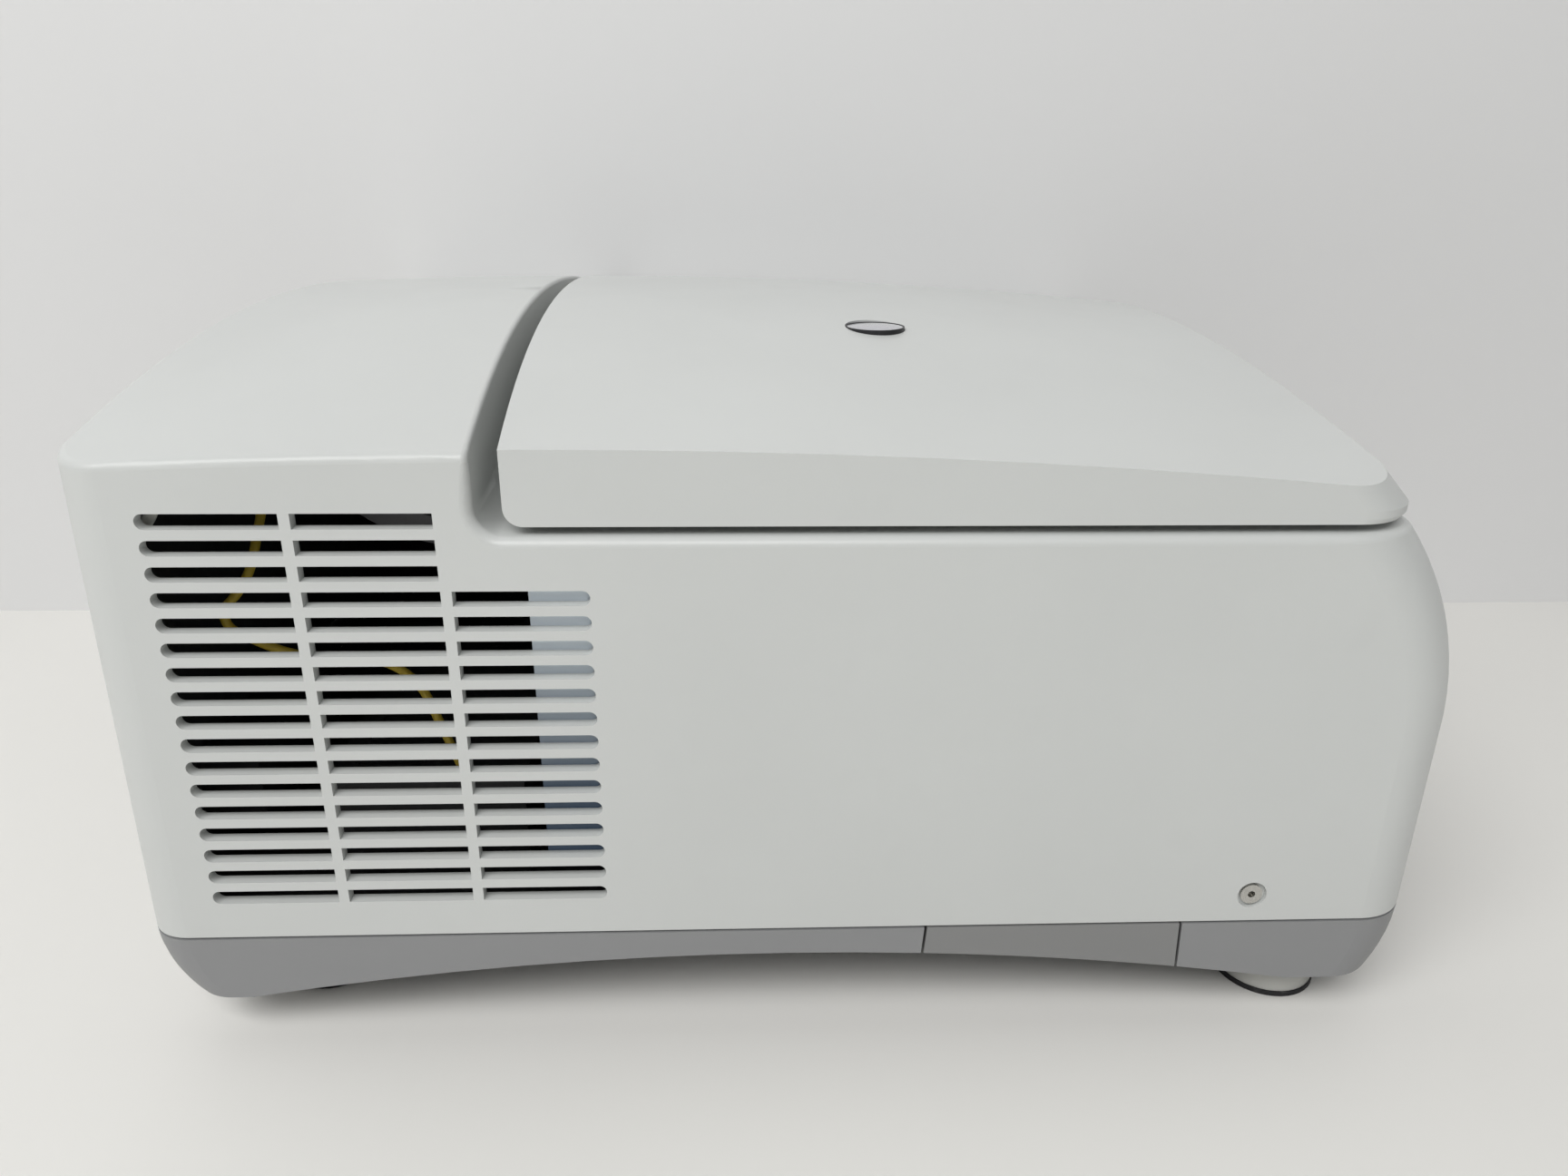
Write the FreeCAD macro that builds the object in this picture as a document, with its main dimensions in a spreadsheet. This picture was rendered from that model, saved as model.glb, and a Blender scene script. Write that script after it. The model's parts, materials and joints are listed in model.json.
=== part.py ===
"""Thermal cycler with a spinning rotor, as a parametric FreeCAD document in millimetres.

Frame: +Z up, the table at z = 0, the front of the instrument towards -Y, the origin under the middle.
Every size is one cell of the sheet; every sub-part is bound to those cells by expressions.
"""

import FreeCAD, Part
import math
import os
import re
import Sketcher

# ---------------------------------------------------------------- driving sizes

SIZES = {
    # casing
    "width": 370,
    "depth": 426.6,
    "crown_height": 223.5,
    "deck_height": 175,
    "seam_height": 41,
    "base_clearance": 17,
    "wall": 4,
    "fit": 0.3,
    "front_bow_radius": 1685,
    "front_upright_top": 108,
    "front_roll_radius": 105,
    "crown_across_radius": 720,
    "crown_along_radius": 2600,
    "crown_apex_y": 79.3,
    "rear_lean": 3,
    "front_corner": 21,
    "rear_corner": 15,
    "casing_edge": 3,
    "gap_edge": 1.4,
    "hood_front_y": 100.8,
    "gap_bow_radius": 3300,
    "recess_radius": 8.5,
    # side grilles
    "slot_rows": 17,
    "short_rows": 3,
    "slot_pitch": 7.76,
    "slot_height": 4.6,
    "slot_top_drop": 16.72,
    "grille_front_y": 64.3,
    "grille_rear_y": 187.7,
    "grille_bar": 3.2,
    "baffle_cover": 18.4,
    "front_bar_y": 105,
    "rear_bar_y": 147.1,
    # base
    "tray_rear_radius": 34,
    "tray_front_radius": 50,
    "arch_y": 9.3,
    "arch_setback": 41.3,
    "arch_rise": 14,
    "seam_groove": 1,
    "insert_setback": 88.3,
    "insert_length": 88.6,
    "insert_slant": 2,
    "insert_seam": 0.9,
    "foot_radius": 17.3,
    "foot_margin": 10,
    "front_foot_setback": 44.4,
    "rear_foot_setback": 44,
    "rear_foot_inset": 13,
    "foot_rim_height": 1.9,
    "foot_rim_width": 3,
    "chassis_height": 36,
    "sheet_metal": 1.5,
    "screw_radius": 2,
    "case_screw_setback": 67.6,
    "case_screw_z": 51,
    "case_screw_dish": 4.8,
    # lid
    "lid_gap": 8,
    "lid_lift": 2.7,
    "lid_side_inset": 2.5,
    "lid_wall": 3,
    "lid_front_setback": 25.5,
    "lid_nose": 3.8,
    "lid_slope": 47,
    "lid_corner": 20,
    "lid_rear_rounding": 5.5,
    "lid_edge_softness": 1.5,
    "lid_rim": 12,
    "lid_front_rim": 19,
    "lid_rear_rim": 12.5,
    "liner_thickness": 2.6,
    "viewport_x": 74,
    "viewport_y": 27.7,
    "viewport_radius": 10.1,
    "viewport_frame": 0.6,
    "hinge_y": 119.3,
    "hinge_drop": 18.5,
    "hinge_x": 95,
    "arm_thickness": 8,
    "arm_radius": 57,
    "arm_width": 10,
    "arm_start": 13,
    "arm_end": 170,
    "pin_radius": 4,
    # rotating chamber
    "chamber_y": 29.7,
    "chamber_radius": 100,
    "chamber_floor": 78,
    "pot_wall": 1.5,
    "pot_flange": 10,
    "collar_width": 6,
    "collar_lip": 1.4,
    "insulation": 10,
    "plug_clearance": 4,
    "plug_depth": 12,
    "latch_depth": 14,
    "latch_pin_radius": 2.5,
    "latch_rest": 6,
    "spindle_radius": 4,
    "bearing_radius": 11,
    "bearing_width": 7,
    "motor_radius": 30,
    "motor_height": 23,
    "rotor_seat": 98,
    "rotor_hub_radius": 16,
    "rotor_hub_height": 20,
    "tube_circle": 64,
    "tube_tilt": 40,
    "tube_holes": 36,
    "tube_hole_radius": 3.1,
    "rotor_band": 26,
    "rotor_thickness": 4,
    "heater_clearance": 20,
    "heater_radius": 3.5,
    "heater_gap": 30,
    "housing_wall": 3,
    "air_hole_reach": 66,
    "air_hole_radius": 18,
    # optics
    "wheel_radius": 27,
    "wheel_thickness": 2.5,
    "wheel_hub": 4,
    "filter_circle": 20,
    "filter_radius": 5,
    "filters": 6,
    "optics_clearance": 22,
    "optics_motor_radius": 8,
    "optics_shaft_radius": 1.5,
    "excitation_z": 68,
    "lens_z": 96,
    "lens_radius": 9,
    # air and electrics
    "blower_y": 138.3,
    "blower_radius": 42,
    "blower_height": 40,
    "blower_wall": 1.6,
    "blower_inlet": 24,
    "blower_blades": 24,
    "axle_radius": 3,
    "duct_half": 22,
    "duct_low": 50,
    "duct_front_y": 15.3,
    "fan_blades": 7,
    "fan_size": 92,
    "fan_depth": 25,
    "fan_x": 100,
    "fan_z": 106,
    "panel_recess": 10,
    "panel_side": 31,
    "panel_margin": 6,
    "panel_low": 52,
    "panel_high": 166,
    "inlet_x": 118,
    "inlet_z": 74,
    "inlet_half": 34,
    "inlet_half_height": 14,
    "inlet_depth": 20,
    "socket_depth": 17,
    "supply_left_x": 150,
    "supply_height": 39,
    "electrics_front_y": 95.3,
    "electrics_rear_y": 163.3,
    "blower_clearance": 8,
    "board_right_x": 150,
    "board_thickness": 1.6,
    "wire_radius": 1.5,
}

# places worked out from the sizes, written once and used by name
PLACES = {
    "half": "width/2",
    "long": "depth/2",
    "lid_bottom": "deck_height + lid_lift",
    "lid_rear_y": "hood_front_y - lid_gap",
    "gap_centre_y": "hood_front_y - gap_bow_radius",
    "lid_half": "half - lid_side_inset",
    "liner_bottom": "lid_bottom + 0.4",
    "liner_top": "liner_bottom + liner_thickness",
    "bow_centre_y": "front_bow_radius - long",
    "deck_under": "deck_height - wall",
    "chassis_top": "chassis_height + sheet_metal",
    "foot_x": "half - foot_margin - foot_radius",
    "hinge_z": "crown_height - hinge_drop",
    "slot_first": "crown_height - crown_across_radius + sqrt(crown_across_radius^2 - half^2) - slot_top_drop",
    "front_foot_y": "long - front_foot_setback",
    "rear_foot_y": "long - rear_foot_setback",
    "case_screw_y": "long - case_screw_setback",
    "insert_front_y": "long - insert_setback",
    "insert_rear_y": "insert_front_y - insert_length",
    "arch_half_span": "long - arch_setback",
    "panel_y": "long - panel_recess",
    "panel_half_width": "half - panel_side",
    "plug_radius": "chamber_radius - plug_clearance",
    "heater_circle": "chamber_radius - heater_clearance",
    "optics_circle": "chamber_radius - optics_clearance",
    "housing_radius": "bearing_radius + housing_wall",
    "supply_right_x": "blower_radius + blower_clearance + 6",
    "board_left_x": "blower_radius + blower_clearance + 2",
    "latch_z": "deck_under - 6.5",
    "latch_y": "chamber_y + chamber_radius + pot_wall + insulation + latch_depth/2 + 3.5",
    "collar_top": "deck_height + collar_lip",
    "motor_top": "chassis_top + motor_height",
    "hub_top": "rotor_seat + rotor_hub_height",
    "viewport_z": "crown_height - crown_along_radius + sqrt((crown_along_radius - crown_across_radius"
    " + sqrt(crown_across_radius^2 - viewport_x^2))^2 - (viewport_y + crown_apex_y)^2)",
    "plug_bottom": "liner_bottom - plug_depth",
    "board_height": "chassis_top + 10",
    "rotor_mid_z": "rotor_seat + 6 + rotor_band/2*sin(tube_tilt)",
    "pot_under": "chamber_floor - pot_wall",
    "wheel_y": "chamber_y + optics_circle",
    "emission_y": "chamber_y + chamber_radius + pot_wall + insulation + 8",
    "axle_top": "chassis_top + blower_height - 6",
    "duct_top": "pot_under - fit",
    "board_top": "board_height + board_thickness",
    "outlet_y": "blower_y - blower_radius - 5",
    "supply_top": "chassis_top + supply_height",
    "panel_front_y": "panel_y - sheet_metal",
    "baffle_top": "deck_under - 4",
}

DOC = FreeCAD.newDocument("thermal_cycler")
SHEET = DOC.addObject("Spreadsheet::Sheet", "Sizes")
for row, (alias, size) in enumerate(SIZES.items(), start=1):
    SHEET.set(f"A{row}", str(size))
    SHEET.setAlias(f"A{row}", alias)
DOC.recompute()

WORD = re.compile(r"[a-z][a-z0-9_]*")
SUB_PARTS = []


def expression(text):
    """A text of sizes and places as an expression of the sheet."""

    def word(match):
        name = match.group(0)
        if name in PLACES:
            return "(" + expression(PLACES[name]) + ")"
        return "Sizes." + name if name in SIZES else name

    return WORD.sub(word, str(text))


def value(text):
    """The number that a text of sizes and places stands for."""
    return float(SHEET.evalExpression(expression(text)))


def bind(thing, prop, text):
    thing.setExpression(prop, expression(text))


def sub_part(name, thing):
    """Names the object as a sub-part that gets a file of its own."""
    thing.Label = name
    SUB_PARTS.append(thing)
    return thing


# ---------------------------------------------------------------- building blocks


def block(name, x, y, z):
    """A box between two places along each axis."""
    box = DOC.addObject("Part::Box", name)
    for prop, axis, (low, high) in (("Length", "x", x), ("Width", "y", y), ("Height", "z", z)):
        bind(box, prop, f"({high}) - ({low})")
        bind(box, f"Placement.Base.{axis}", low)
    return box


TURN_TO_AXIS = {
    "x": FreeCAD.Rotation(FreeCAD.Vector(0, 1, 0), 90),
    "y": FreeCAD.Rotation(FreeCAD.Vector(1, 0, 0), -90),
    "z": FreeCAD.Rotation(),
}


def rod(name, axis, centre, radius, span):
    """A cylinder along an axis, through the centre given by the other two coordinates."""
    cylinder = DOC.addObject("Part::Cylinder", name)
    cylinder.Placement.Rotation = TURN_TO_AXIS[axis]
    bind(cylinder, "Radius", radius)
    bind(cylinder, "Height", f"({span[1]}) - ({span[0]})")
    across = [letter for letter in "xyz" if letter != axis]
    bind(cylinder, f"Placement.Base.{axis}", span[0])
    for letter, place in zip(across, centre):
        bind(cylinder, f"Placement.Base.{letter}", place)
    return cylinder


def cut(name, base, *tools):
    result = DOC.addObject("Part::Cut", name)
    result.Base = base
    result.Tool = tools[0] if len(tools) == 1 else fuse(name + "_tools", *tools)
    return result


def fuse(name, *parts):
    result = DOC.addObject("Part::MultiFuse", name)
    result.Shapes = list(parts)
    return result


def common(name, base, tool):
    result = DOC.addObject("Part::Common", name)
    result.Base = base
    result.Tool = tool
    return result


def group(name, *parts):
    """Separate solids that share one node."""
    result = DOC.addObject("Part::Compound", name)
    result.Links = list(parts)
    return result


def tube(name, axis, centre, outer, inner, span):
    return cut(
        name,
        rod(name + "_outside", axis, centre, outer, span),
        rod(name + "_bore", axis, centre, inner, span),
    )


def arc_middle(start, end, radius):
    """The middle of the shorter arc, which turns left for a positive radius."""
    chord = end - start
    left = FreeCAD.Vector(-chord.y, chord.x, 0).normalize()
    reach = math.sqrt(max(radius * radius - chord.Length**2 / 4, 0))
    side = math.copysign(1, radius)
    return (start + end) * 0.5 + left * side * (reach - abs(radius))


def pin_point(sketch, geometry, end, x, y):
    for kind, place in (("DistanceX", x), ("DistanceY", y)):
        index = sketch.addConstraint(Sketcher.Constraint(kind, -1, 1, geometry, end, value(place)))
        sketch.setExpression(f"Constraints[{index}]", expression(place))


def draw_loop(sketch, corners):
    """A closed outline; a corner with a third value is reached by an arc of that signed radius."""
    places = [FreeCAD.Vector(value(corner[0]), value(corner[1]), 0) for corner in corners]
    ends = []
    for index, corner in enumerate(corners):
        start, end = places[index - 1], places[index]
        if len(corner) == 3:
            radius = value(corner[2])
            arc = Part.Arc(start, arc_middle(start, end, radius), end)
            geometry = sketch.addGeometry(arc, False)
            turned = radius > 0
            ends.append((geometry, 1 if turned else 2, 2 if turned else 1))
            limit = sketch.addConstraint(Sketcher.Constraint("Radius", geometry, abs(radius)))
            sketch.setExpression(f"Constraints[{limit}]", expression(f"abs({corner[2]})"))
        else:
            geometry = sketch.addGeometry(Part.LineSegment(start, end), False)
            ends.append((geometry, 1, 2))
    for index, corner in enumerate(corners):
        geometry, _, end = ends[index]
        after, start, _ = ends[(index + 1) % len(ends)]
        sketch.addConstraint(Sketcher.Constraint("Coincident", geometry, end, after, start))
        pin_point(sketch, geometry, end, corner[0], corner[1])


def draw_circle(sketch, x, y, radius):
    circle = Part.Circle(FreeCAD.Vector(value(x), value(y), 0), FreeCAD.Vector(0, 0, 1), value(radius))
    geometry = sketch.addGeometry(circle, False)
    limit = sketch.addConstraint(Sketcher.Constraint("Radius", geometry, value(radius)))
    sketch.setExpression(f"Constraints[{limit}]", expression(radius))
    pin_point(sketch, geometry, 3, x, y)


def sketched_body(name, plane, offset, loops):
    """A body and a sketch on one of its own origin planes; a loop is corners or a circle's (x, y, radius)."""
    body = DOC.addObject("PartDesign::Body", name)
    sketch = body.newObject("Sketcher::SketchObject", name + "_sketch")
    support = next(feature for feature in body.Origin.OriginFeatures if feature.Role == plane + "_Plane")
    sketch.AttachmentSupport = [(support, "")]
    sketch.MapMode = "FlatFace"
    bind(sketch, "AttachmentOffset.Base.z", offset)
    for loop in loops:
        if isinstance(loop, tuple):
            draw_circle(sketch, *loop)
        else:
            draw_loop(sketch, loop)
    return body, sketch


def plate(name, plane, span, *loops):
    """A pad between two places along the normal of its plane: XY along Z, YZ along X, XZ along Y."""
    offset = span[0] if plane != "XZ" else f"-({span[1]})"
    body, sketch = sketched_body(name, plane, offset, loops)
    pad = body.newObject("PartDesign::Pad", name + "_pad")
    pad.Profile = sketch
    bind(pad, "Length", f"({span[1]}) - ({span[0]})")
    return body


def revolved(name, centre, *loops, axis="V_Axis"):
    """A turned solid: loops in radius and height about the vertical (V) or the level (H) axis at centre."""
    body, sketch = sketched_body(name, "XZ", 0, loops)
    turn = body.newObject("PartDesign::Revolution", name + "_turn")
    turn.Profile = sketch
    turn.ReferenceAxis = (sketch, [axis])
    turn.Angle = 360
    for letter, place in zip("xyz", centre):
        bind(body, f"Placement.Base.{letter}", place)
    return body


def ring_of(name, source, count, centre, axis="z"):
    """Copies of a shape spaced evenly about an axis through centre, as one compound."""
    DOC.recompute()
    places = [value(place) for place in centre]
    places.insert("xyz".index(axis), 0)
    pivot = FreeCAD.Vector(*places)
    direction = FreeCAD.Vector(*(letter == axis for letter in "xyz"))
    copies = []
    number = round(value(count))
    for index in range(number):
        copy = source.Shape.copy()
        copy.rotate(pivot, direction, 360 * index / number)
        copies.append(copy)
    ring = DOC.addObject("Part::Feature", name)
    ring.Shape = Part.makeCompound(copies)
    return ring


def mirrored(name, source):
    """The piece on the other side of the middle plane."""
    mirror = DOC.addObject("Part::Mirroring", name)
    mirror.Source = source
    mirror.Normal = FreeCAD.Vector(1, 0, 0)
    return mirror


def corners_of(x, y):
    """The four corners of a rectangle as a loop."""
    return [(x[0], y[0]), (x[1], y[0]), (x[1], y[1]), (x[0], y[1])]


def rounded(x, y, radius):
    """A rectangle with rounded corners as a loop."""
    (x0, x1), (y0, y1) = x, y
    return [
        (f"({x1}) - ({radius})", y0),
        (x1, f"({y0}) + ({radius})", radius),
        (x1, f"({y1}) - ({radius})"),
        (f"({x1}) - ({radius})", y1, radius),
        (f"({x0}) + ({radius})", y1),
        (x0, f"({y1}) - ({radius})", radius),
        (x0, f"({y0}) + ({radius})"),
        (f"({x0}) + ({radius})", y0, radius),
    ]


SHARP_COSINE = math.cos(math.radians(20))
PROBE = 0.05


def outward_normal(face, point):
    u, v = face.Surface.parameter(point)
    return face.normalAt(u, v)


def sharp_edges(shape, wanted):
    """Numbers of the sharp outward edges whose middle point is wanted."""
    numbers = []
    for number, edge in enumerate(shape.Edges, start=1):
        middle = edge.valueAt((edge.FirstParameter + edge.LastParameter) / 2)
        faces = shape.ancestorsOfType(edge, Part.Face)
        if len(faces) != 2 or not wanted(middle):
            continue
        one, two = (outward_normal(face, middle) for face in faces)
        if one.dot(two) > SHARP_COSINE:
            continue
        if not shape.isInside(middle + (one - two) * PROBE, 1e-4, False):
            numbers.append(number)
    return numbers


def soften(name, base, *rules):
    """Rounds the sharp outward edges that each rule of (radius, wanted) picks."""
    DOC.recompute()
    result = DOC.addObject("Part::Fillet", name)
    result.Base = base
    edges = []
    for radius, wanted in rules:
        edges += [(number, value(radius), value(radius)) for number in sharp_edges(base.Shape, wanted)]
    result.Edges = edges
    return result


# ---------------------------------------------------------------- casing


def front_cutter(name, inset, bottom):
    """What lies outside the bowed front, which is upright below and rolls back above."""
    top = "deck_height + 6"
    rise = f"({top}) - front_upright_top"
    roll = f"(front_roll_radius - ({inset}))"
    face = f"front_bow_radius - ({inset})"
    outline = [
        (face, "front_upright_top"),
        (f"front_bow_radius - front_roll_radius + sqrt({roll}^2 - ({rise})^2)", top, roll),
        ("front_bow_radius + 60", top),
        ("front_bow_radius + 60", bottom),
        (face, bottom),
    ]
    return revolved(name, (0, "bow_centre_y", 0), outline)


def crown_cutter(name, inset):
    """What lies above the crown, arched both across and along."""
    across = f"(crown_across_radius - ({inset}))"
    top = f"crown_along_radius - ({inset})"
    reach = "half + 20"
    shoulder = f"{top} - {across} + sqrt({across}^2 - ({reach})^2)"
    outline = [
        (reach, f"{top} + 60"),
        (f"-({reach})", f"{top} + 60"),
        (f"-({reach})", shoulder),
        (reach, shoulder, f"-{across}"),
    ]
    return revolved(name, (0, "crown_apex_y", "crown_height - crown_along_radius"), outline, axis="H_Axis")


def rear_cutter(name, inset):
    """What lies behind the rear wall, which leans forward towards the top."""
    low = f"long - ({inset})"
    lean = "rear_lean/(crown_height - seam_height)"
    outline = [
        (f"{low} + 10*{lean}", "seam_height - 10"),
        (f"{low} - (crown_height + 10 - seam_height)*{lean}", "crown_height + 10"),
        ("long + 40", "crown_height + 10"),
        ("long + 40", "seam_height - 10"),
    ]
    return plate(name, "YZ", ("-half - 10", "half + 10"), outline)


def lid_space(name, grow):
    """The room above the deck and in front of the hood, with a rounded foot at the hood."""
    bow = f"(gap_bow_radius + ({grow}))"
    side = "(half + 30)"
    rear = f"gap_centre_y + sqrt({bow}^2 - {side}^2)"
    outline = [
        (f"-{side}", "-long - 60"),
        (side, "-long - 60"),
        (side, rear),
        (f"-{side}", rear, bow),
    ]
    space = plate(name + "_plan", "XY", (f"deck_height - ({grow})", "crown_height + 60"), outline)
    foot = value(f"deck_height - ({grow})")
    back = value(rear)
    return soften(
        name,
        space,
        (f"recess_radius + ({grow})", lambda p: abs(p.z - foot) < 0.1 and p.y > back),
    )


def casing_form(name, inset, bottom):
    """The solid outline of the upper casing, drawn in by an even inset."""
    side = f"half - ({inset})"
    plain = block(
        name + "_block", (f"-({side})", side), ("-long - 2", "long + 2"), (bottom, "crown_height + 8")
    )
    shaped = cut(
        name + "_shaped",
        plain,
        front_cutter(name + "_front", inset, f"({bottom}) - 5"),
        crown_cutter(name + "_crown", inset),
        rear_cutter(name + "_rear", inset),
    )
    opened = cut(name + "_opened", shaped, lid_space(name + "_lid_space", inset))
    edge = value(side)

    def at_corner(point, front):
        return abs(abs(point.x) - edge) < 0.5 and (point.y < -value("long") * 0.7) == front

    return soften(
        name,
        opened,
        (f"front_corner - ({inset})", lambda p: at_corner(p, True) and p.z < value("deck_height") - 8),
        (f"rear_corner - ({inset})", lambda p: at_corner(p, False) and p.y > value("long") * 0.9),
    )


def slot_cells(row):
    """The openings of one row of the side grille, rounded at its outer ends."""
    top = f"slot_first - {row}*slot_pitch"
    bottom = f"{top} - slot_height"
    nose = "slot_height/2"
    gap = "grille_bar/2"
    rear_cell = [
        (f"rear_bar_y + {gap}", bottom),
        (f"grille_rear_y - {nose}", bottom),
        ("grille_rear_y", f"{bottom} + {nose}", nose),
        (f"grille_rear_y - {nose}", top, nose),
        (f"rear_bar_y + {gap}", top),
    ]
    middle_cell = corners_of((f"front_bar_y + {gap}", f"rear_bar_y - {gap}"), (bottom, top))
    front_cell = [
        (f"front_bar_y - {gap}", top),
        (f"grille_front_y + {nose}", top),
        ("grille_front_y", f"{top} - {nose}", nose),
        (f"grille_front_y + {nose}", bottom, nose),
        (f"front_bar_y - {gap}", bottom),
    ]
    return [rear_cell, middle_cell] + ([] if row < value("short_rows") else [front_cell])


def arm_reach(radius, height):
    """How far in front of its pin the hinge arm's edge of this radius is at a height."""
    return f"sqrt(({radius})^2 - (hinge_z - ({height}))^2)"


def arm_slots(name, low, high, clearance):
    """The passages of the two hinge arms between two heights."""
    inner = arm_reach("arm_radius - arm_width/2", low)
    outer = arm_reach("arm_radius + arm_width/2", high)
    side = f"(arm_thickness/2 + {clearance})"
    slot = block(
        name + "_left",
        (f"-hinge_x - {side}", f"-hinge_x + {side}"),
        (f"hinge_y - {outer} - {clearance}", f"hinge_y - {inner} + {clearance}"),
        (f"{low} - 1", f"{high} + 1"),
    )
    return slot, mirrored(name + "_right", slot)


def make_upper_case():
    hollow = casing_form("upper_case_hollow", "wall", "seam_height - 2")
    solid = casing_form("upper_case_solid", "0", "seam_height")
    rim = value("seam_height") + 5
    hood_front = value("hood_front_y")

    def beside_gap(place):
        return place.z > value("deck_height") + 12 and abs(place.y - hood_front) < 6

    rimmed = soften(
        "upper_case_rimmed",
        solid,
        ("gap_edge", beside_gap),
        ("casing_edge", lambda p: p.z > rim and not beside_gap(p)),
    )
    shell = cut("upper_case_shell", rimmed, hollow)
    boss_span = ("-half + wall/2", "-half + wall + 4.5")
    boss = rod("case_boss_left", "x", ("-case_screw_y", "case_screw_z"), "7", boss_span)
    bossed = fuse("upper_case_bossed", shell, boss, mirrored("case_boss_right", boss))
    side_to_side = ("-half - 5", "half + 5")
    rows = [
        plate(f"slots_row_{row + 1}", "YZ", side_to_side, *slot_cells(row))
        for row in range(round(value("slot_rows")))
    ]
    slotted = cut("upper_case_slotted", bossed, group("slots", *rows))
    dish = rod(
        "screw_dish_left",
        "x",
        ("-case_screw_y", "case_screw_z"),
        "case_screw_dish",
        ("-half - 1", "-half + 1.6"),
    )
    return cut(
        "upper_case",
        slotted,
        rod(
            "chamber_mouth",
            "z",
            ("0", "-chamber_y"),
            "chamber_radius + collar_width",
            ("deck_under - 1", "deck_height + 1"),
        ),
        *arm_slots("deck_slot", "deck_under", "deck_height", "1.5"),
        block(
            "latch_slot",
            ("-3.2", "3.2"),
            ("-latch_y - 9", "-latch_y + 6.5"),
            ("deck_under - 1", "deck_height + 1"),
        ),
        dish,
        mirrored("screw_dish_right", dish),
        rod("case_screw_bore", "x", ("-case_screw_y", "case_screw_z"), "screw_radius + 0.2", side_to_side),
        plate(
            "rear_window",
            "XZ",
            ("panel_y - 2", "long + 5"),
            rounded(
                ("-panel_half_width + panel_margin", "panel_half_width - panel_margin"),
                ("panel_low", "panel_high"),
                "8",
            ),
        ),
        *light_holes("light_hole", "2.6", ("-long - 1", "-long + wall + 1")),
    )


def light_holes(name, radius, span):
    """Two short rods side by side in the front wall, near the middle."""
    return [
        rod(f"{name}_{side}", "y", (place, "front_upright_top - 22"), radius, span)
        for side, place in (("left", "-8"), ("right", "8"))
    ]


def make_status_lights():
    return group("status_lights", *light_holes("light", "2.5", ("-long + 0.2", "-long + wall + 4")))


def front_outline(side, corner, bow):
    """The bowed front with its two round corners, from the left side round to the right side."""
    reach = f"sqrt(({bow} - {corner})^2 - ({side} - {corner})^2)"
    stretch = f"{bow}/({bow} - {corner})"
    corner_y = f"bow_centre_y - {reach}"
    touch_x = f"({side} - {corner})*{stretch}"
    touch_y = f"bow_centre_y - {reach}*{stretch}"
    return [
        (f"-{side}", corner_y),
        (f"-({touch_x})", touch_y, corner),
        (touch_x, touch_y, bow),
        (side, corner_y, corner),
    ]


def plan_outline(inset, front_shift="0", rear_shift="0"):
    """The casing's outline seen from above, drawn in all round by inset and at each end by a shift too."""
    side = f"(half - ({inset}))"
    rear_round = f"(rear_corner - ({inset}))"
    bow = f"(front_bow_radius - ({inset}) - ({front_shift}))"
    back = f"(long - ({inset}) - ({rear_shift}))"
    return front_outline(side, f"(front_corner - ({inset}))", bow) + [
        (side, f"{back} - {rear_round}"),
        (f"{side} - {rear_round}", back, rear_round),
        (f"-({side} - {rear_round})", back),
        (f"-{side}", f"{back} - {rear_round}", rear_round),
    ]


def lofted(name, sections, ruled):
    """A solid through outlines, each given with its height."""
    loft = DOC.addObject("Part::Loft", name)
    sketches = []
    for index, (height, outline) in enumerate(sections, start=1):
        sketch = DOC.addObject("Sketcher::SketchObject", f"{name}_section_{index}")
        bind(sketch, "Placement.Base.z", height)
        draw_loop(sketch, outline)
        sketches.append(sketch)
    loft.Sections = sketches
    loft.Solid = True
    loft.Ruled = ruled
    return loft


TRAY_SECTIONS = 5


def tray_form(name, inset):
    """The solid outline of the base tray: straight sides, ends that curl under and an arched underside."""
    low = f"(base_clearance + ({inset}))"
    sections = []
    for index in range(TRAY_SECTIONS):
        drop = f"((seam_height - {low})*{index}/{TRAY_SECTIONS - 1})"
        front_shift, rear_shift = (
            f"{curl} - sqrt({curl}^2 - {drop}^2)"
            for curl in (f"(tray_front_radius - ({inset}))", f"(tray_rear_radius - ({inset}))")
        )
        sections.append((f"seam_height - {drop}", plan_outline(inset, front_shift, rear_shift)))
    arch = [
        ("arch_y + arch_half_span", low),
        ("arch_y - arch_half_span", low, "(arch_half_span^2 + arch_rise^2)/(2*arch_rise)"),
        ("arch_y - arch_half_span", f"{low} - 5"),
        ("arch_y + arch_half_span", f"{low} - 5"),
    ]
    loft = lofted(name + "_loft", sections, False)
    return cut(name, loft, plate(name + "_arch", "YZ", ("-half - 5", "half + 5"), arch))


def feet_rods(name, radius, span):
    """Four upright rods, one at each foot."""
    rods = []
    for end, x, y in (
        ("front", "foot_x", "-front_foot_y"), ("rear", "foot_x - rear_foot_inset", "rear_foot_y")
    ):
        for side, sign in (("left", "-"), ("right", "")):
            rods.append(rod(f"{name}_{end}_{side}", "z", (f"{sign}({x})", y), radius, span))
    return rods


def insert_plan(name, shrink, inner_face):
    """The side region that a base insert fills on the left, drawn in evenly at its seams."""
    front = f"-insert_front_y + ({shrink})"
    rear = f"-insert_rear_y - ({shrink})"
    outline = [
        (front, "base_clearance - 5"),
        (rear, "base_clearance - 5"),
        (f"{rear} - insert_slant", f"seam_height - ({shrink})"),
        (f"{front} + insert_slant/2", f"seam_height - ({shrink})"),
    ]
    return plate(name, "YZ", ("-half - 5", inner_face), outline)


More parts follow.
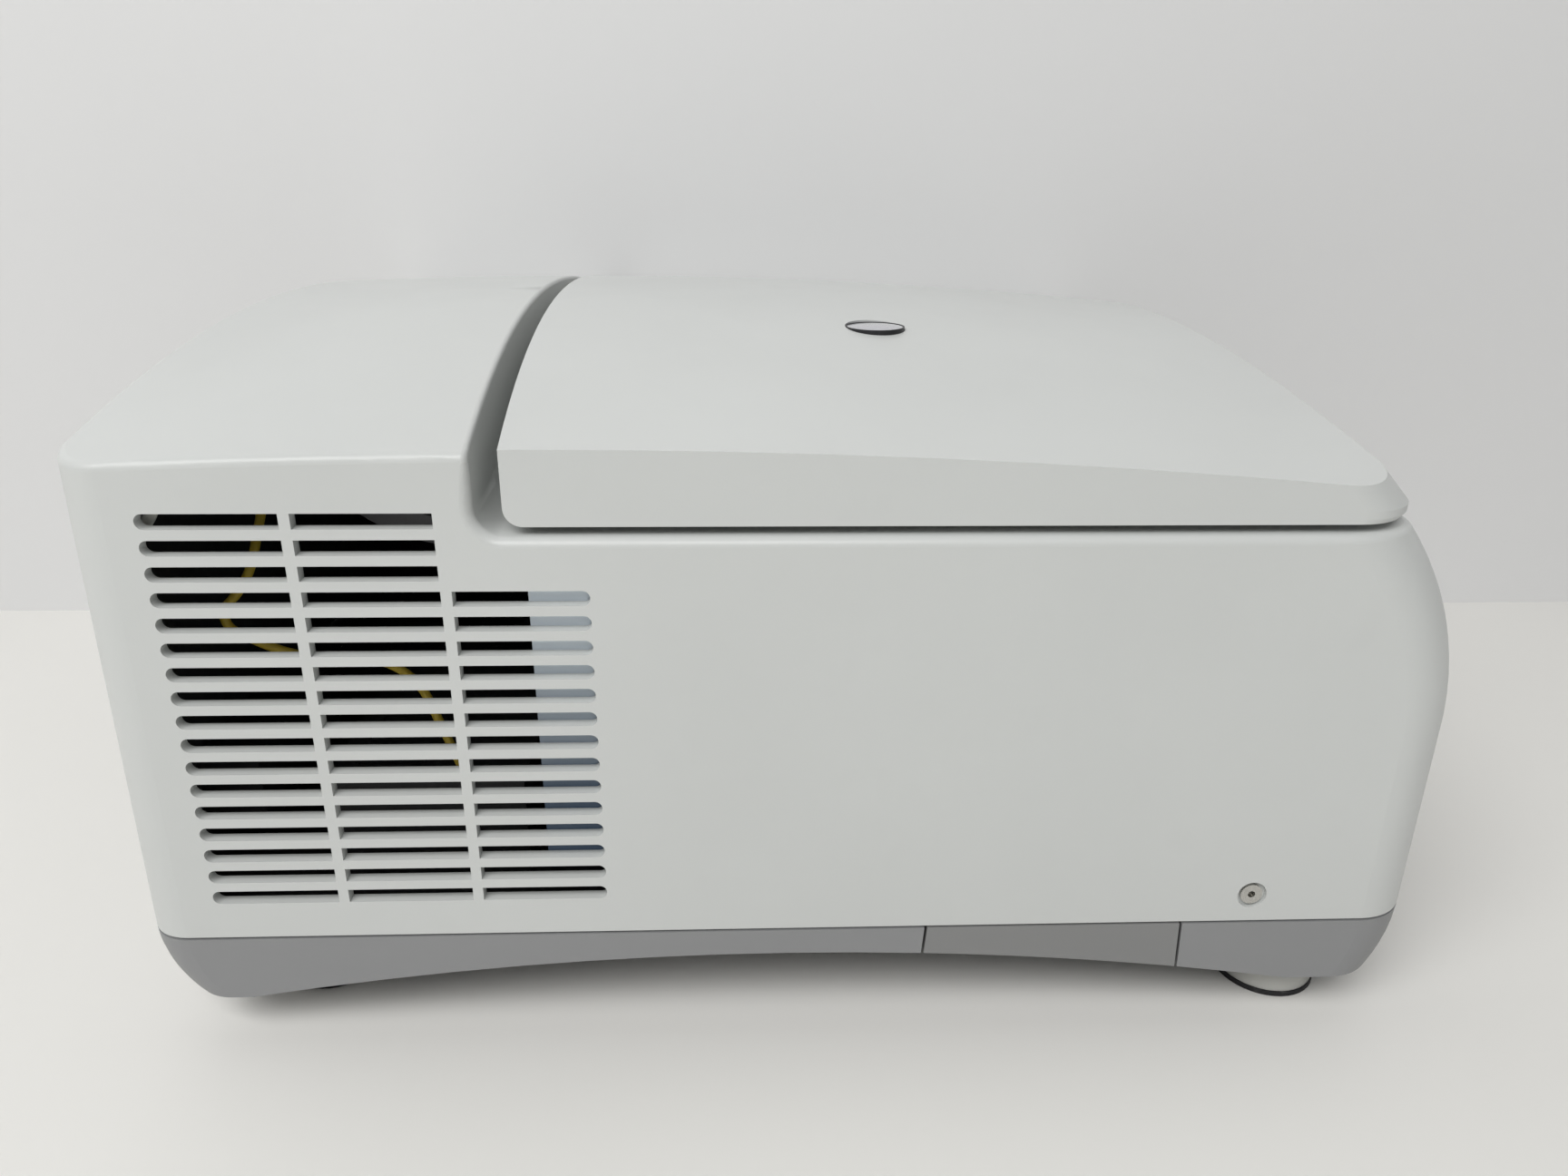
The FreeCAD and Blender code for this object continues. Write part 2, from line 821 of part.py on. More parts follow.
def make_base():
    """The tray, with the seam groove under the casing, and the two side inserts."""
    solid = tray_form("base_tray_solid", "0")
    hollow = tray_form("base_tray_hollow", "wall")
    shell = cut("base_tray_shell", solid, hollow)
    bosses = feet_rods("foot_boss", "foot_radius + 1.5", ("base_clearance", "chassis_height"))
    bossed = fuse("base_tray_bossed", shell, *bosses)
    groove_outside = block(
        "seam_groove_block",
        ("-half - 5", "half + 5"),
        ("-long - 5", "long + 5"),
        ("seam_height - seam_groove", "seam_height + 1"),
    )
    groove_inside = plate(
        "seam_groove_inside",
        "XY",
        ("seam_height - seam_groove - 1", "seam_height + 2"),
        plan_outline("seam_groove"),
    )
    groove = cut("seam_groove_ring", groove_outside, groove_inside)
    left_window = insert_plan("insert_window_left", "0", "-half + wall")
    sub_part(
        "base_tray",
        cut(
            "base_tray",
            bossed,
            groove,
            left_window,
            mirrored("insert_window_right", left_window),
            *feet_rods("foot_screw_bore", "screw_radius + 0.2", ("base_clearance - 1", "chassis_height + 1")),
        ),
    )
    insert = common(
        "base_insert_left", solid, insert_plan("insert_shape", "insert_seam", "-half + wall - fit")
    )
    sub_part("base_insert_left", insert)
    sub_part("base_insert_right", mirrored("base_insert_right", insert))


def make_feet():
    pad = "foot_radius - 0.5"
    spigot = "foot_radius - foot_rim_width - 0.1"
    rims = [
        cut(f"rim_{index}", outer, inner)
        for index, (outer, inner) in enumerate(
            zip(
                feet_rods("rim_outside", "foot_radius", ("0", "foot_rim_height")),
                feet_rods("rim_inside", "foot_radius - foot_rim_width", ("-1", "foot_rim_height + 1")),
            )
        )
    ]
    sub_part("foot_rims", group("foot_rims", *rims))
    head = ("foot_rim_height + 1", "foot_rim_height + 4")
    pads = [
        cut(f"pad_{index}", fuse(f"pad_form_{index}", body, plug), sink, bore)
        for index, (body, plug, sink, bore) in enumerate(
            zip(
                feet_rods("pad_body", pad, ("foot_rim_height", "base_clearance")),
                feet_rods("pad_spigot", spigot, ("1", "foot_rim_height")),
                feet_rods("pad_sink", "screw_radius*2 + 0.4", ("0", head[1])),
                feet_rods("pad_bore", "screw_radius + 0.2", ("0", "base_clearance + 1")),
            )
        )
    ]
    sub_part("foot_pads", group("foot_pads", *pads))
    screws = [
        fuse(f"foot_screw_{index}", shank, top)
        for index, (shank, top) in enumerate(
            zip(
                feet_rods("foot_screw_shank", "screw_radius", (head[0], "chassis_top + 3")),
                feet_rods("foot_screw_head", "screw_radius*2", head),
            )
        )
    ]
    sub_part("foot_screws", group("foot_screws", *screws))


def make_casing():
    sub_part("upper_case", make_upper_case())
    sub_part("status_lights", make_status_lights())
    head = rod(
        "case_screw_head",
        "x",
        ("-case_screw_y", "case_screw_z"),
        "screw_radius*1.8",
        ("-half + 0.4", "-half + 1.6"),
    )
    shank = rod(
        "case_screw_shank",
        "x",
        ("-case_screw_y", "case_screw_z"),
        "screw_radius",
        ("-half + 1.6", "-half + 12"),
    )
    socket = rod(
        "case_screw_socket",
        "x",
        ("-case_screw_y", "case_screw_z"),
        "screw_radius*0.6",
        ("-half", "-half + 3.2"),
    )
    screw = cut("case_screw_left", fuse("case_screw_form", head, shank), socket)
    sub_part("case_screws", group("case_screws", screw, mirrored("case_screw_right", screw)))


def make_chassis():
    """The steel floor with its side tabs, and the rear panel that stands on it."""
    floor = plate(
        "chassis_floor",
        "XY",
        ("chassis_height", "chassis_top"),
        rounded(("-half + wall + 6", "half - wall - 6"), ("-long + 20", "panel_y - sheet_metal"), "6"),
    )
    tab = block(
        "side_tab_left",
        ("-half + wall + 4.8", "-half + wall + 4.8 + sheet_metal"),
        ("-case_screw_y - 12", "-case_screw_y + 12"),
        ("chassis_height", "case_screw_z + 9"),
    )
    foot_strip = block(
        "side_tab_strip_left",
        ("-half + wall + 4.8", "-half + wall + 12"),
        ("-case_screw_y - 12", "-case_screw_y + 12"),
        ("chassis_height", "chassis_top"),
    )
    sub_part(
        "chassis_plate",
        cut(
            "chassis_plate",
            fuse(
                "chassis_form",
                floor,
                tab,
                mirrored("side_tab_right", tab),
                foot_strip,
                mirrored("strip_right", foot_strip),
            ),
            *feet_rods("chassis_bore", "screw_radius + 0.1", ("chassis_height - 1", "chassis_top + 1")),
            rod("tab_bore", "x", ("-case_screw_y", "case_screw_z"), "screw_radius + 0.1", ("-half", "half")),
        ),
    )
    panel = block(
        "rear_panel_sheet",
        ("-panel_half_width", "panel_half_width"),
        ("panel_front_y", "panel_y"),
        ("chassis_height", "panel_high + 5"),
    )
    sub_part(
        "rear_panel",
        cut(
            "rear_panel",
            panel,
            rod(
                "fan_window", "y", ("fan_x", "fan_z"), "fan_size/2 - 3", ("panel_front_y - 1", "panel_y + 1")
            ),
            block(
                "inlet_window",
                ("-inlet_x - inlet_half - fit", "-inlet_x + inlet_half + fit"),
                ("panel_front_y - 1", "panel_y + 1"),
                ("inlet_z - inlet_half_height - fit", "inlet_z + inlet_half_height + fit"),
            ),
            block("usb_window", *port_span("usb", "fit"), ("inlet_z - 6 - fit", "inlet_z + 6 + fit")),
            block("serial_window", *port_span("serial", "fit"), ("inlet_z - 6 - fit", "inlet_z + 6 + fit")),
        ),
    )


PORTS = {"usb": ("-50", "6"), "serial": ("-18", "15.5")}


def port_span(port, margin):
    """The places across and through the panel of a data port."""
    middle, reach = PORTS[port]
    return (
        (f"{middle} - {reach} - {margin}", f"{middle} + {reach} + {margin}"),
        ("panel_front_y - 1", "panel_y + 1"),
    )


def make_ports():
    bodies = []
    for port, depth, cavity in (("usb", "10", ("4.3", "4")), ("serial", "6", ("12", "4"))):
        middle, reach = PORTS[port]
        shell = block(
            f"{port}_shell",
            (f"{middle} - {reach}", f"{middle} + {reach}"),
            ("panel_front_y - 12", "panel_y + 1"),
            ("inlet_z - 6", "inlet_z + 6"),
        )
        mouth = block(
            f"{port}_mouth",
            (f"{middle} - {cavity[0]}", f"{middle} + {cavity[0]}"),
            (f"panel_y + 1 - {depth}", "panel_y + 2"),
            (f"inlet_z - {cavity[1]}", f"inlet_z + {cavity[1]}"),
        )
        bodies.append(cut(f"{port}_port", shell, mouth))
    sub_part("data_ports", group("data_ports", *bodies))


BAYS = {"switch": ("-inlet_x - 25", "6.5"), "fuse": ("-inlet_x + 24", "6")}


def make_power_inlet():
    """The inlet module: a mains socket between the switch and the fuse drawer."""
    across = ("-inlet_x - inlet_half", "-inlet_x + inlet_half")
    upright = ("inlet_z - inlet_half_height", "inlet_z + inlet_half_height")
    body = block("inlet_body", across, ("panel_front_y - inlet_depth", "panel_y + 0.5"), upright)
    flange = block(
        "inlet_flange",
        ("-inlet_x - inlet_half - 3", "-inlet_x + inlet_half + 3"),
        ("panel_y", "panel_y + 2"),
        ("inlet_z - inlet_half_height - 3", "inlet_z + inlet_half_height + 3"),
    )
    mouth = ("panel_y + 2 - socket_depth", "panel_y + 3")
    socket = block(
        "inlet_socket", ("-inlet_x - 12", "-inlet_x + 12"), mouth, ("inlet_z - 8.75", "inlet_z + 8.75")
    )
    bays = [
        block(
            "switch_bay",
            bay_span("switch"),
            ("panel_y - 12", "panel_y + 3"),
            ("inlet_z - 11", "inlet_z + 11"),
        ),
        block("fuse_bay", bay_span("fuse"), ("panel_y - 18", "panel_y + 3"), ("inlet_z - 9", "inlet_z + 9")),
    ]
    axle_bore = rocker_axle("rocker_axle_bore", "1.55", "1.8")
    hollowed = cut("inlet_hollowed", fuse("inlet_form", body, flange), socket, *bays, axle_bore)
    pins = [
        block(
            f"inlet_pin_{index}",
            (f"-inlet_x + {x} - 1", f"-inlet_x + {x} + 1"),
            mouth_of_pins(),
            (f"inlet_z + {z} - 2", f"inlet_z + {z} + 2"),
        )
        for index, (x, z) in enumerate((("0", "2"), ("-7", "-2"), ("7", "-2")))
    ]
    sub_part("power_inlet", fuse("power_inlet", hollowed, *pins))
    drawer_x, drawer_reach = BAYS["fuse"]
    front = block(
        "fuse_front",
        (f"{drawer_x} - {drawer_reach} + fit", f"{drawer_x} + {drawer_reach} - fit"),
        ("panel_y - 17.5", "panel_y + 3"),
        ("inlet_z - 9 + fit", "inlet_z + 9 - fit"),
    )
    fuse_trough = block(
        "fuse_trough",
        (f"{drawer_x} - {drawer_reach} + 2", f"{drawer_x} + {drawer_reach} - 2"),
        ("panel_y - 15", "panel_y - 1"),
        ("inlet_z - 6", "inlet_z + 10"),
    )
    sub_part("fuse_drawer", cut("fuse_drawer", front, fuse_trough))
    rocker_x, rocker_reach = BAYS["switch"]
    face = "panel_y + 1"
    outline = [
        (f"{face} - 7", "inlet_z - 3"),
        (f"{face} + 2.6", "inlet_z - 9"),
        (face, "inlet_z"),
        (f"{face} - 0.4", "inlet_z + 9"),
        (f"{face} - 7", "inlet_z + 5"),
    ]
    rocker = plate(
        "rocker_form", "YZ", (
            f"{rocker_x} - {rocker_reach} + fit", f"{rocker_x} + {rocker_reach} - fit"
        ), outline
    )
    sub_part("power_switch", fuse("power_switch", rocker, rocker_axle("rocker_axle", "1.5", "1.5")))


def rocker_axle(name, radius, overhang):
    """The cross rod that the rocker turns on, in its place below the rocker's face."""
    middle, reach = BAYS["switch"]
    return rod(
        name,
        "x",
        ("panel_y - 3", "inlet_z"),
        radius,
        (f"{middle} - {reach} - {overhang}", f"{middle} + {reach} + {overhang}"),
    )


def mouth_of_pins():
    return ("panel_y + 1 - socket_depth", "panel_y - 2")


def bay_span(bay):
    middle, reach = BAYS[bay]
    return (f"{middle} - {reach}", f"{middle} + {reach}")


# ---------------------------------------------------------------- lid


def slope_setback(height, inset):
    """How far the lid's sloping front has drawn back at a height."""
    return f"(({height}) - lid_bottom - lid_nose)/tan(lid_slope) + ({inset})*(1/sin(lid_slope) - 1)"


def lid_form(name, inset, heights):
    """The solid outline of the lid, drawn in by an even inset, from (height, front setback) pairs."""
    side = f"(lid_half - ({inset}))"
    gap_bow = f"(gap_bow_radius - ({inset}))"
    rear = f"lid_rear_y - gap_bow_radius + sqrt({gap_bow}^2 - {side}^2)"
    sections = []
    for height, setback in heights:
        bow = f"(front_bow_radius - lid_front_setback - ({inset}) - ({setback}))"
        outline = front_outline(side, f"(lid_corner - ({inset}))", bow) + [
            (side, rear),
            (f"-{side}", rear, gap_bow),
        ]
        sections.append((height, outline))
    loft = lofted(name + "_loft", sections, True)
    shaped = cut(name + "_shaped", loft, crown_cutter(name + "_crown", inset))
    rear_face = value(rear)
    bottom = value(heights[0][0]) + 0.1
    return soften(
        name, shaped, (f"lid_rear_rounding - ({inset})", lambda p: p.y > rear_face and p.z < bottom)
    )


def liner_plan(shrink):
    """The opening under the lid, which the liner closes."""
    return rounded(
        (f"-lid_half + lid_rim + ({shrink})", f"lid_half - lid_rim - ({shrink})"),
        (
            f"-long + lid_front_setback + lid_front_rim + ({shrink})",
            f"lid_rear_y - lid_rear_rim - ({shrink})",
        ),
        f"(lid_corner + 4 - ({shrink}))",
    )


def viewport_rod(name, radius, span):
    return rod(name, "z", ("-viewport_x", "-viewport_y"), radius, span)


def make_lid():
    top = "crown_height + 12"
    shoulder = "lid_bottom + lid_nose"
    solid = lid_form(
        "lid_solid",
        "0",
        [
            ("lid_bottom", "lid_edge_softness"),
            ("lid_bottom + lid_edge_softness", "0"),
            (shoulder, "0"),
            (top, slope_setback(top, "0")),
        ],
    )
    low = "lid_bottom + lid_wall"
    hollow = lid_form(
        "lid_hollow", "lid_wall", [
            (low, slope_setback(low, "lid_wall")), (top, slope_setback(top, "lid_wall"))
        ]
    )
    mouth = plate("lid_mouth", "XY", ("lid_bottom - 1", "lid_bottom + lid_wall + 1"), liner_plan("0"))
    shell = cut(
        "lid_shell",
        solid,
        hollow,
        mouth,
        viewport_rod(
            "viewport_hole", "viewport_radius + viewport_frame + 0.15", ("lid_bottom", "crown_height + 5")
        ),
    )
    sub_part("lid_shell", shell)
    sleeve_radius = "viewport_radius + 1.4"
    liner = plate("liner_sheet", "XY", ("liner_bottom", "liner_top"), liner_plan("fit"))
    sub_part(
        "lid_liner",
        cut(
            "lid_liner",
            liner,
            viewport_rod("liner_hole", f"{sleeve_radius} + 0.1", ("lid_bottom", "lid_bottom + 10")),
            *arm_slots("liner_slot", "liner_bottom", "liner_top", "0.4"),
        ),
    )
    plug = rod("plug_disc", "z", ("0", "-chamber_y"), "plug_radius", ("plug_bottom", "liner_bottom"))
    plug_hole = viewport_rod("plug_hole", f"{sleeve_radius} + 0.1", ("plug_bottom - 1", "liner_bottom + 1"))
    sub_part("lid_plug", cut("lid_plug", plug, plug_hole))
    seal = tube(
        "lid_seal",
        "z",
        ("0", "-chamber_y"),
        "chamber_radius + 7.5",
        "chamber_radius + 1.5",
        ("collar_top + fit", "liner_bottom"),
    )
    sub_part("lid_seal", seal)
    sub_part(
        "viewport_bezel",
        tube(
            "viewport_bezel",
            "z",
            ("-viewport_x", "-viewport_y"),
            "viewport_radius + viewport_frame",
            "viewport_radius + 0.05",
            ("viewport_z - 5", "viewport_z + 0.45"),
        ),
    )
    dome = [
        (0, "viewport_z - 3"),
        ("viewport_radius", "viewport_z - 3"),
        ("viewport_radius", "viewport_z + 0.3"),
        (0, "viewport_z + 0.9", "viewport_radius^2/1.2 + 0.3"),
    ]
    sub_part("viewport_lens", revolved("viewport_lens", ("-viewport_x", "-viewport_y", 0), dome))
    sub_part(
        "viewport_sleeve",
        tube(
            "viewport_sleeve",
            "z",
            ("-viewport_x", "-viewport_y"),
            sleeve_radius,
            "viewport_radius",
            ("plug_bottom", "viewport_z - 5.1"),
        ),
    )
    tongue = block(
        "striker_tongue",
        ("-1.5", "1.5"),
        ("-latch_y - 5.5", "-latch_y + 5.5"),
        ("deck_under - 12", "liner_bottom"),
    )
    tongue_hole = block(
        "striker_window",
        ("-5", "5"),
        ("-latch_y - 3.6", "-latch_y + 3.6"),
        ("latch_z - 3.4", "latch_z + 3.4"),
    )
    sub_part("lid_striker", cut("lid_striker", tongue, tongue_hole))
    case = block(
        "solenoid_block",
        ("latch_rest", "latch_rest + 34"),
        ("-latch_y - 7", "-latch_y + 7"),
        ("deck_under - 15", "deck_under"),
    )
    bore = rod(
        "solenoid_bore",
        "x",
        ("-latch_y", "latch_z"),
        "latch_pin_radius + 0.1",
        ("latch_rest - 1", "latch_rest + 26"),
    )
    sub_part("lock_solenoid", cut("lock_solenoid", case, bore))
    sub_part(
        "lock_pin",
        rod("lock_pin", "x", ("-latch_y", "latch_z"), "latch_pin_radius", ("3.2", "latch_rest + 22")),
    )


def arm_point(radius, aside, angle):
    """A place on the hinge arm: out from the pin at an angle below the forward direction, and aside."""
    return (
        f"hinge_y - ({radius})*cos({angle}) + ({aside})*sin({angle})",
        f"hinge_z - ({radius})*sin({angle}) - ({aside})*cos({angle})",
    )


def make_hinge():
    """Two hooked arms that swing about pins inside the hood, under its front wall."""
    side = ("-hinge_x - arm_thickness/2", "-hinge_x + arm_thickness/2")
    inner = "arm_radius - arm_width/2"
    outer = "arm_radius + arm_width/2"
    hook = [
        arm_point(outer, 0, "arm_start"),
        arm_point(outer, 0, "arm_end") + (f"({outer})",),
        arm_point(inner, 0, "arm_end"),
        arm_point(inner, 0, "arm_start") + (f"-({inner})",),
    ]
    leg = [
        arm_point(0, "-arm_width/2", "arm_end"),
        arm_point(0, "arm_width/2", "arm_end"),
        arm_point("arm_radius", "arm_width/2", "arm_end"),
        arm_point("arm_radius", "-arm_width/2", "arm_end"),
    ]
    foot = block(
        "arm_foot_left",
        ("-hinge_x - 9", "-hinge_x + 9"),
        ("hinge_y - arm_radius - 40", f"hinge_y - {arm_reach('arm_radius', 'liner_top + 3')}"),
        ("liner_top", "liner_top + 5"),
    )
    form = fuse(
        "arm_form",
        plate("arm_hook", "YZ", side, hook),
        plate("arm_leg", "YZ", side, leg),
        rod("arm_eye", "x", ("hinge_y", "hinge_z"), "pin_radius + 2.5", side),
        foot,
    )
    bore = rod(
        "arm_bore", "x", ("hinge_y", "hinge_z"), "pin_radius + 0.05", ("-hinge_x - 20", "-hinge_x + 20")
    )
    arm = cut("hinge_arm_left", form, bore)
    sub_part("hinge_arms", group("hinge_arms", arm, mirrored("hinge_arm_right", arm)))
    pin = rod(
        "hinge_pin_left",
        "x",
        ("hinge_y", "hinge_z"),
        "pin_radius",
        ("-hinge_x - arm_thickness/2 - 4", "-hinge_x + arm_thickness/2 + 4"),
    )
    sub_part("hinge_pins", group("hinge_pins", pin, mirrored("hinge_pin_right", pin)))
    near = "(arm_thickness/2 + 0.8)"
    far = "(arm_thickness/2 + 3.8)"
    upright = ("hinge_z - 14", "hinge_z + 5.5")
    back = "hinge_y + 12"
    front_wall = "gap_centre_y + sqrt((gap_bow_radius + wall)^2 - hinge_x^2)"
    cheeks = [
        block(f"cheek_{index}", (f"-hinge_x + {low}", f"-hinge_x + {high}"), (front_wall, back), upright)
        for index, (low, high) in enumerate(((near, far), (f"-{far}", f"-{near}")))
    ]
    web = block(
        "bracket_web",
        (f"-hinge_x - {far}", f"-hinge_x + {far}"),
        (f"{front_wall} - 2", f"{front_wall} + 2"),
        upright,
    )
    bracket_bore = rod(
        "bracket_bore", "x", ("hinge_y", "hinge_z"), "pin_radius + 0.01", ("-hinge_x - 20", "-hinge_x + 20")
    )
    wall_face = lid_space("bracket_seat", "wall")
    bracket = cut("hinge_bracket_left", fuse("bracket_form", web, *cheeks), bracket_bore, wall_face)
    sub_part("hinge_brackets", group("hinge_brackets", bracket, mirrored("hinge_bracket_right", bracket)))


# ---------------------------------------------------------------- rotating chamber


def make_chamber():
    """The air chamber: pot, collar, insulation and the heating ring in it."""
    middle = (0, "-chamber_y", 0)
    outside = "chamber_radius + pot_wall"
    profile = [
        (0, "pot_under"),
        (outside, "pot_under"),
        (outside, "deck_under - pot_wall"),
        ("chamber_radius + pot_flange", "deck_under - pot_wall"),
        ("chamber_radius + pot_flange", "deck_under"),
        ("chamber_radius", "deck_under"),
        ("chamber_radius", "chamber_floor"),
        (0, "chamber_floor"),
    ]
    through_floor = ("pot_under - 1", "chamber_floor + 1")
    leg_x = "heater_circle*sin(heater_gap/2)"
    leg_y = "-chamber_y - heater_circle*cos(heater_gap/2)"
    leg_holes = [
        rod(f"leg_hole_{side}", "z", (x, leg_y), "heater_radius + 0.7", through_floor)
        for side, x in (("left", f"-{leg_x}"), ("right", leg_x))
    ]
    lens_span = ("-chamber_y - chamber_radius - insulation - 5", "-chamber_y - chamber_radius + 8")
    sub_part(
        "chamber_pot",
        cut(
            "chamber_pot",
            revolved("pot_form", middle, profile),
            rod("housing_hole", "z", ("0", "-chamber_y"), "housing_radius + fit", through_floor),
            rod("air_hole", "z", ("0", "-chamber_y + air_hole_reach"), "air_hole_radius", through_floor),
            rod("led_window", "z", ("0", "-wheel_y"), "filter_radius + 3", through_floor),
            rod("pot_lens_hole", "y", ("0", "lens_z"), "lens_radius + fit", lens_span),
            *leg_holes,
        ),
    )
    lip = "chamber_radius + collar_width + 4"
    collar = [
        ("chamber_radius + fit", "deck_under"),
        ("chamber_radius + collar_width - fit", "deck_under"),
        ("chamber_radius + collar_width - fit", "deck_height"),
        (lip, "deck_height"),
        (lip, "collar_top"),
        ("chamber_radius + fit", "collar_top"),
    ]
    sub_part("chamber_collar", revolved("chamber_collar", middle, collar))
    jacket = tube(
        "jacket_form",
        "z",
        ("0", "-chamber_y"),
        "chamber_radius + pot_wall + insulation",
        f"{outside} + fit",
        ("pot_under + 3", "deck_under - pot_wall - fit"),
    )
    jacket_hole = rod("jacket_lens_hole", "y", ("0", "lens_z"), "lens_radius + fit", lens_span)
    sub_part("chamber_insulation", cut("chamber_insulation", jacket, jacket_hole))
    ring = DOC.addObject("Part::Torus", "heater_ring")
    bind(ring, "Radius1", "heater_circle")
    bind(ring, "Radius2", "heater_radius")
    bind(ring, "Angle3", "360 - heater_gap")
    ring.Placement.Rotation = FreeCAD.Rotation(FreeCAD.Vector(0, 0, 1), value("heater_gap/2 - 90"))
    bind(ring, "Placement.Base.y", "-chamber_y")
    bind(ring, "Placement.Base.z", "chamber_floor + 10")
    legs = [
        rod(
            f"heater_leg_{side}",
            "z",
            (x, leg_y),
            "heater_radius + 0.2",
            ("pot_under - 2", "chamber_floor + 12"),
        )
        for side, x in (("left", f"-{leg_x}"), ("right", leg_x))
    ]
    sub_part("heater_element", fuse("heater_element", ring, *legs))


def slab_point(along, above):
    """A place in the rotor's tilted tube band, in radius and height."""
    return (
        f"tube_circle + ({along})*cos(tube_tilt) - ({above})*sin(tube_tilt)",
        f"rotor_mid_z + ({along})*sin(tube_tilt) + ({above})*cos(tube_tilt)",
    )


def tilted_holes(name, radius, reach):
    """The ring of tube holes, square to the tilted band."""
    hole = DOC.addObject("Part::Cylinder", name + "_one")
    hole.Placement.Rotation = FreeCAD.Rotation(FreeCAD.Vector(0, 1, 0), -value("tube_tilt"))
    bind(hole, "Radius", radius)
    bind(hole, "Height", f"2*({reach})")
    across, height = slab_point(0, f"-({reach})")
    bind(hole, "Placement.Base.x", across)
    bind(hole, "Placement.Base.y", "-chamber_y")
    bind(hole, "Placement.Base.z", height)
    return ring_of(name, hole, "tube_holes", ("0", "-chamber_y"))


def make_rotor():
    middle = (0, "-chamber_y", 0)
    bore = "spindle_radius + 0.03"
    web_low = "rotor_seat + rotor_thickness"
    web_high = "rotor_seat + 2*rotor_thickness"
    inner, outer = "-rotor_band/2", "rotor_band/2"
    low_x, low_z = slab_point(inner, "-rotor_thickness/2")
    high_x, high_z = slab_point(inner, "rotor_thickness/2")
    profile = [
        (bore, "rotor_seat"),
        ("rotor_hub_radius", "rotor_seat"),
        ("rotor_hub_radius", web_low),
        (f"{low_x} + ({web_low} - ({low_z}))/tan(tube_tilt)", web_low),
        slab_point(outer, "-rotor_thickness/2"),
        slab_point(outer, "rotor_thickness/2"),
        (f"{high_x} + ({web_high} - ({high_z}))/tan(tube_tilt)", web_high),
        ("rotor_hub_radius", web_high),
        ("rotor_hub_radius", "hub_top"),
        (bore, "hub_top"),
    ]
    form = revolved("rotor_form", middle, profile)
    sub_part(
        "rotor", cut("rotor", form, tilted_holes("tube_holes_ring", "tube_hole_radius", "rotor_thickness"))
    )
    near, far = "rotor_thickness/2 + 0.1", "rotor_thickness/2 + 1.1"
    cover = [
        slab_point(f"{inner} + 3", near),
        slab_point(f"{outer} - 1", near),
        slab_point(f"{outer} - 1", far),
        slab_point(f"{inner} + 3", far),
    ]
    ring = revolved("locking_ring_form", middle, cover)
    sub_part(
        "locking_ring",
        cut(
            "locking_ring", ring, tilted_holes("lid_holes_ring", "tube_hole_radius - 0.7", "rotor_thickness")
        ),
    )
    tip = "hub_top + 8"
    knob = [
        ("spindle_radius + 0.05", "hub_top"),
        ("rotor_hub_radius - 3", "hub_top"),
        ("rotor_hub_radius - 3", "hub_top + 9"),
        ("rotor_hub_radius - 5", "hub_top + 12"),
        (0, "hub_top + 12"),
        (0, f"{tip} + fit"),
        ("spindle_radius + 0.05", f"{tip} + fit"),
    ]
    sub_part("rotor_knob", revolved("rotor_knob", middle, knob))
    shaft = [
        (0, "chassis_top + 6"),
        ("spindle_radius", "chassis_top + 6"),
        ("spindle_radius", "rotor_seat - 3"),
        ("spindle_radius + 3", "rotor_seat - 3"),
        ("spindle_radius + 3", "rotor_seat"),
        ("spindle_radius", "rotor_seat"),
        ("spindle_radius", tip),
        (0, tip),
    ]
    sub_part("spindle", revolved("spindle", middle, shaft))


def make_drive():
    """The motor under the chamber and the bearing housing that carries the spindle."""
    middle = (0, "-chamber_y", 0)
    axis = ("0", "-chamber_y")
    top = "(rotor_seat - 4)"
    race = "bearing_radius + 0.02"
    housing = [
        (race, "motor_top"),
        ("housing_radius + 10", "motor_top"),
        ("housing_radius + 10", "motor_top + 3"),
        ("housing_radius", "motor_top + 3"),
        ("housing_radius", top),
        (race, top),
        (race, f"{top} - bearing_width"),
        ("bearing_radius - 2", f"{top} - bearing_width"),
        ("bearing_radius - 2", "motor_top + bearing_width"),
        (race, "motor_top + bearing_width"),
    ]
    sub_part("bearing_housing", revolved("bearing_housing", middle, housing))
    spans = (("motor_top", "motor_top + bearing_width"), (f"{top} - bearing_width", top))
    rings = [
        tube(f"bearing_{index}", "z", axis, "bearing_radius", "spindle_radius + 0.02", span)
        for index, span in enumerate(spans, start=1)
    ]
    sub_part("bearings", group("bearings", *rings))
    skin = "2.5"
    case = [
        (0, "chassis_top"),
        ("motor_radius", "chassis_top"),
        ("motor_radius", "motor_top"),
        ("spindle_radius + 1", "motor_top"),
        ("spindle_radius + 1", f"motor_top - {skin}"),
        (f"motor_radius - {skin}", f"motor_top - {skin}"),
        (f"motor_radius - {skin}", f"chassis_top + {skin}"),
        (0, f"chassis_top + {skin}"),
    ]
    sub_part("motor_case", revolved("motor_case", middle, case))
    magnet_span = ("chassis_top + 7", "motor_top - 5")
    sub_part(
        "motor_magnet",
        tube("motor_magnet", "z", axis, "motor_radius - 10", "spindle_radius + 0.02", magnet_span),
    )


# ---------------------------------------------------------------- optics


def filter_wheel(name, axis, centre, span):
    """A disc with a ring of filter windows and a bore for its motor's shaft."""
    disc = rod(name + "_disc", axis, centre, "wheel_radius", span)
    reach = (f"({span[0]}) - 1", f"({span[1]}) + 1")
    window_centre = (f"{centre[0]} - filter_circle", centre[1])
    window = rod(name + "_window", axis, window_centre, "filter_radius", reach)
    bore = rod(name + "_bore", axis, centre, "optics_shaft_radius + 0.03", reach)
    return cut(name, disc, ring_of(name + "_windows", window, "filters", centre, axis), bore)


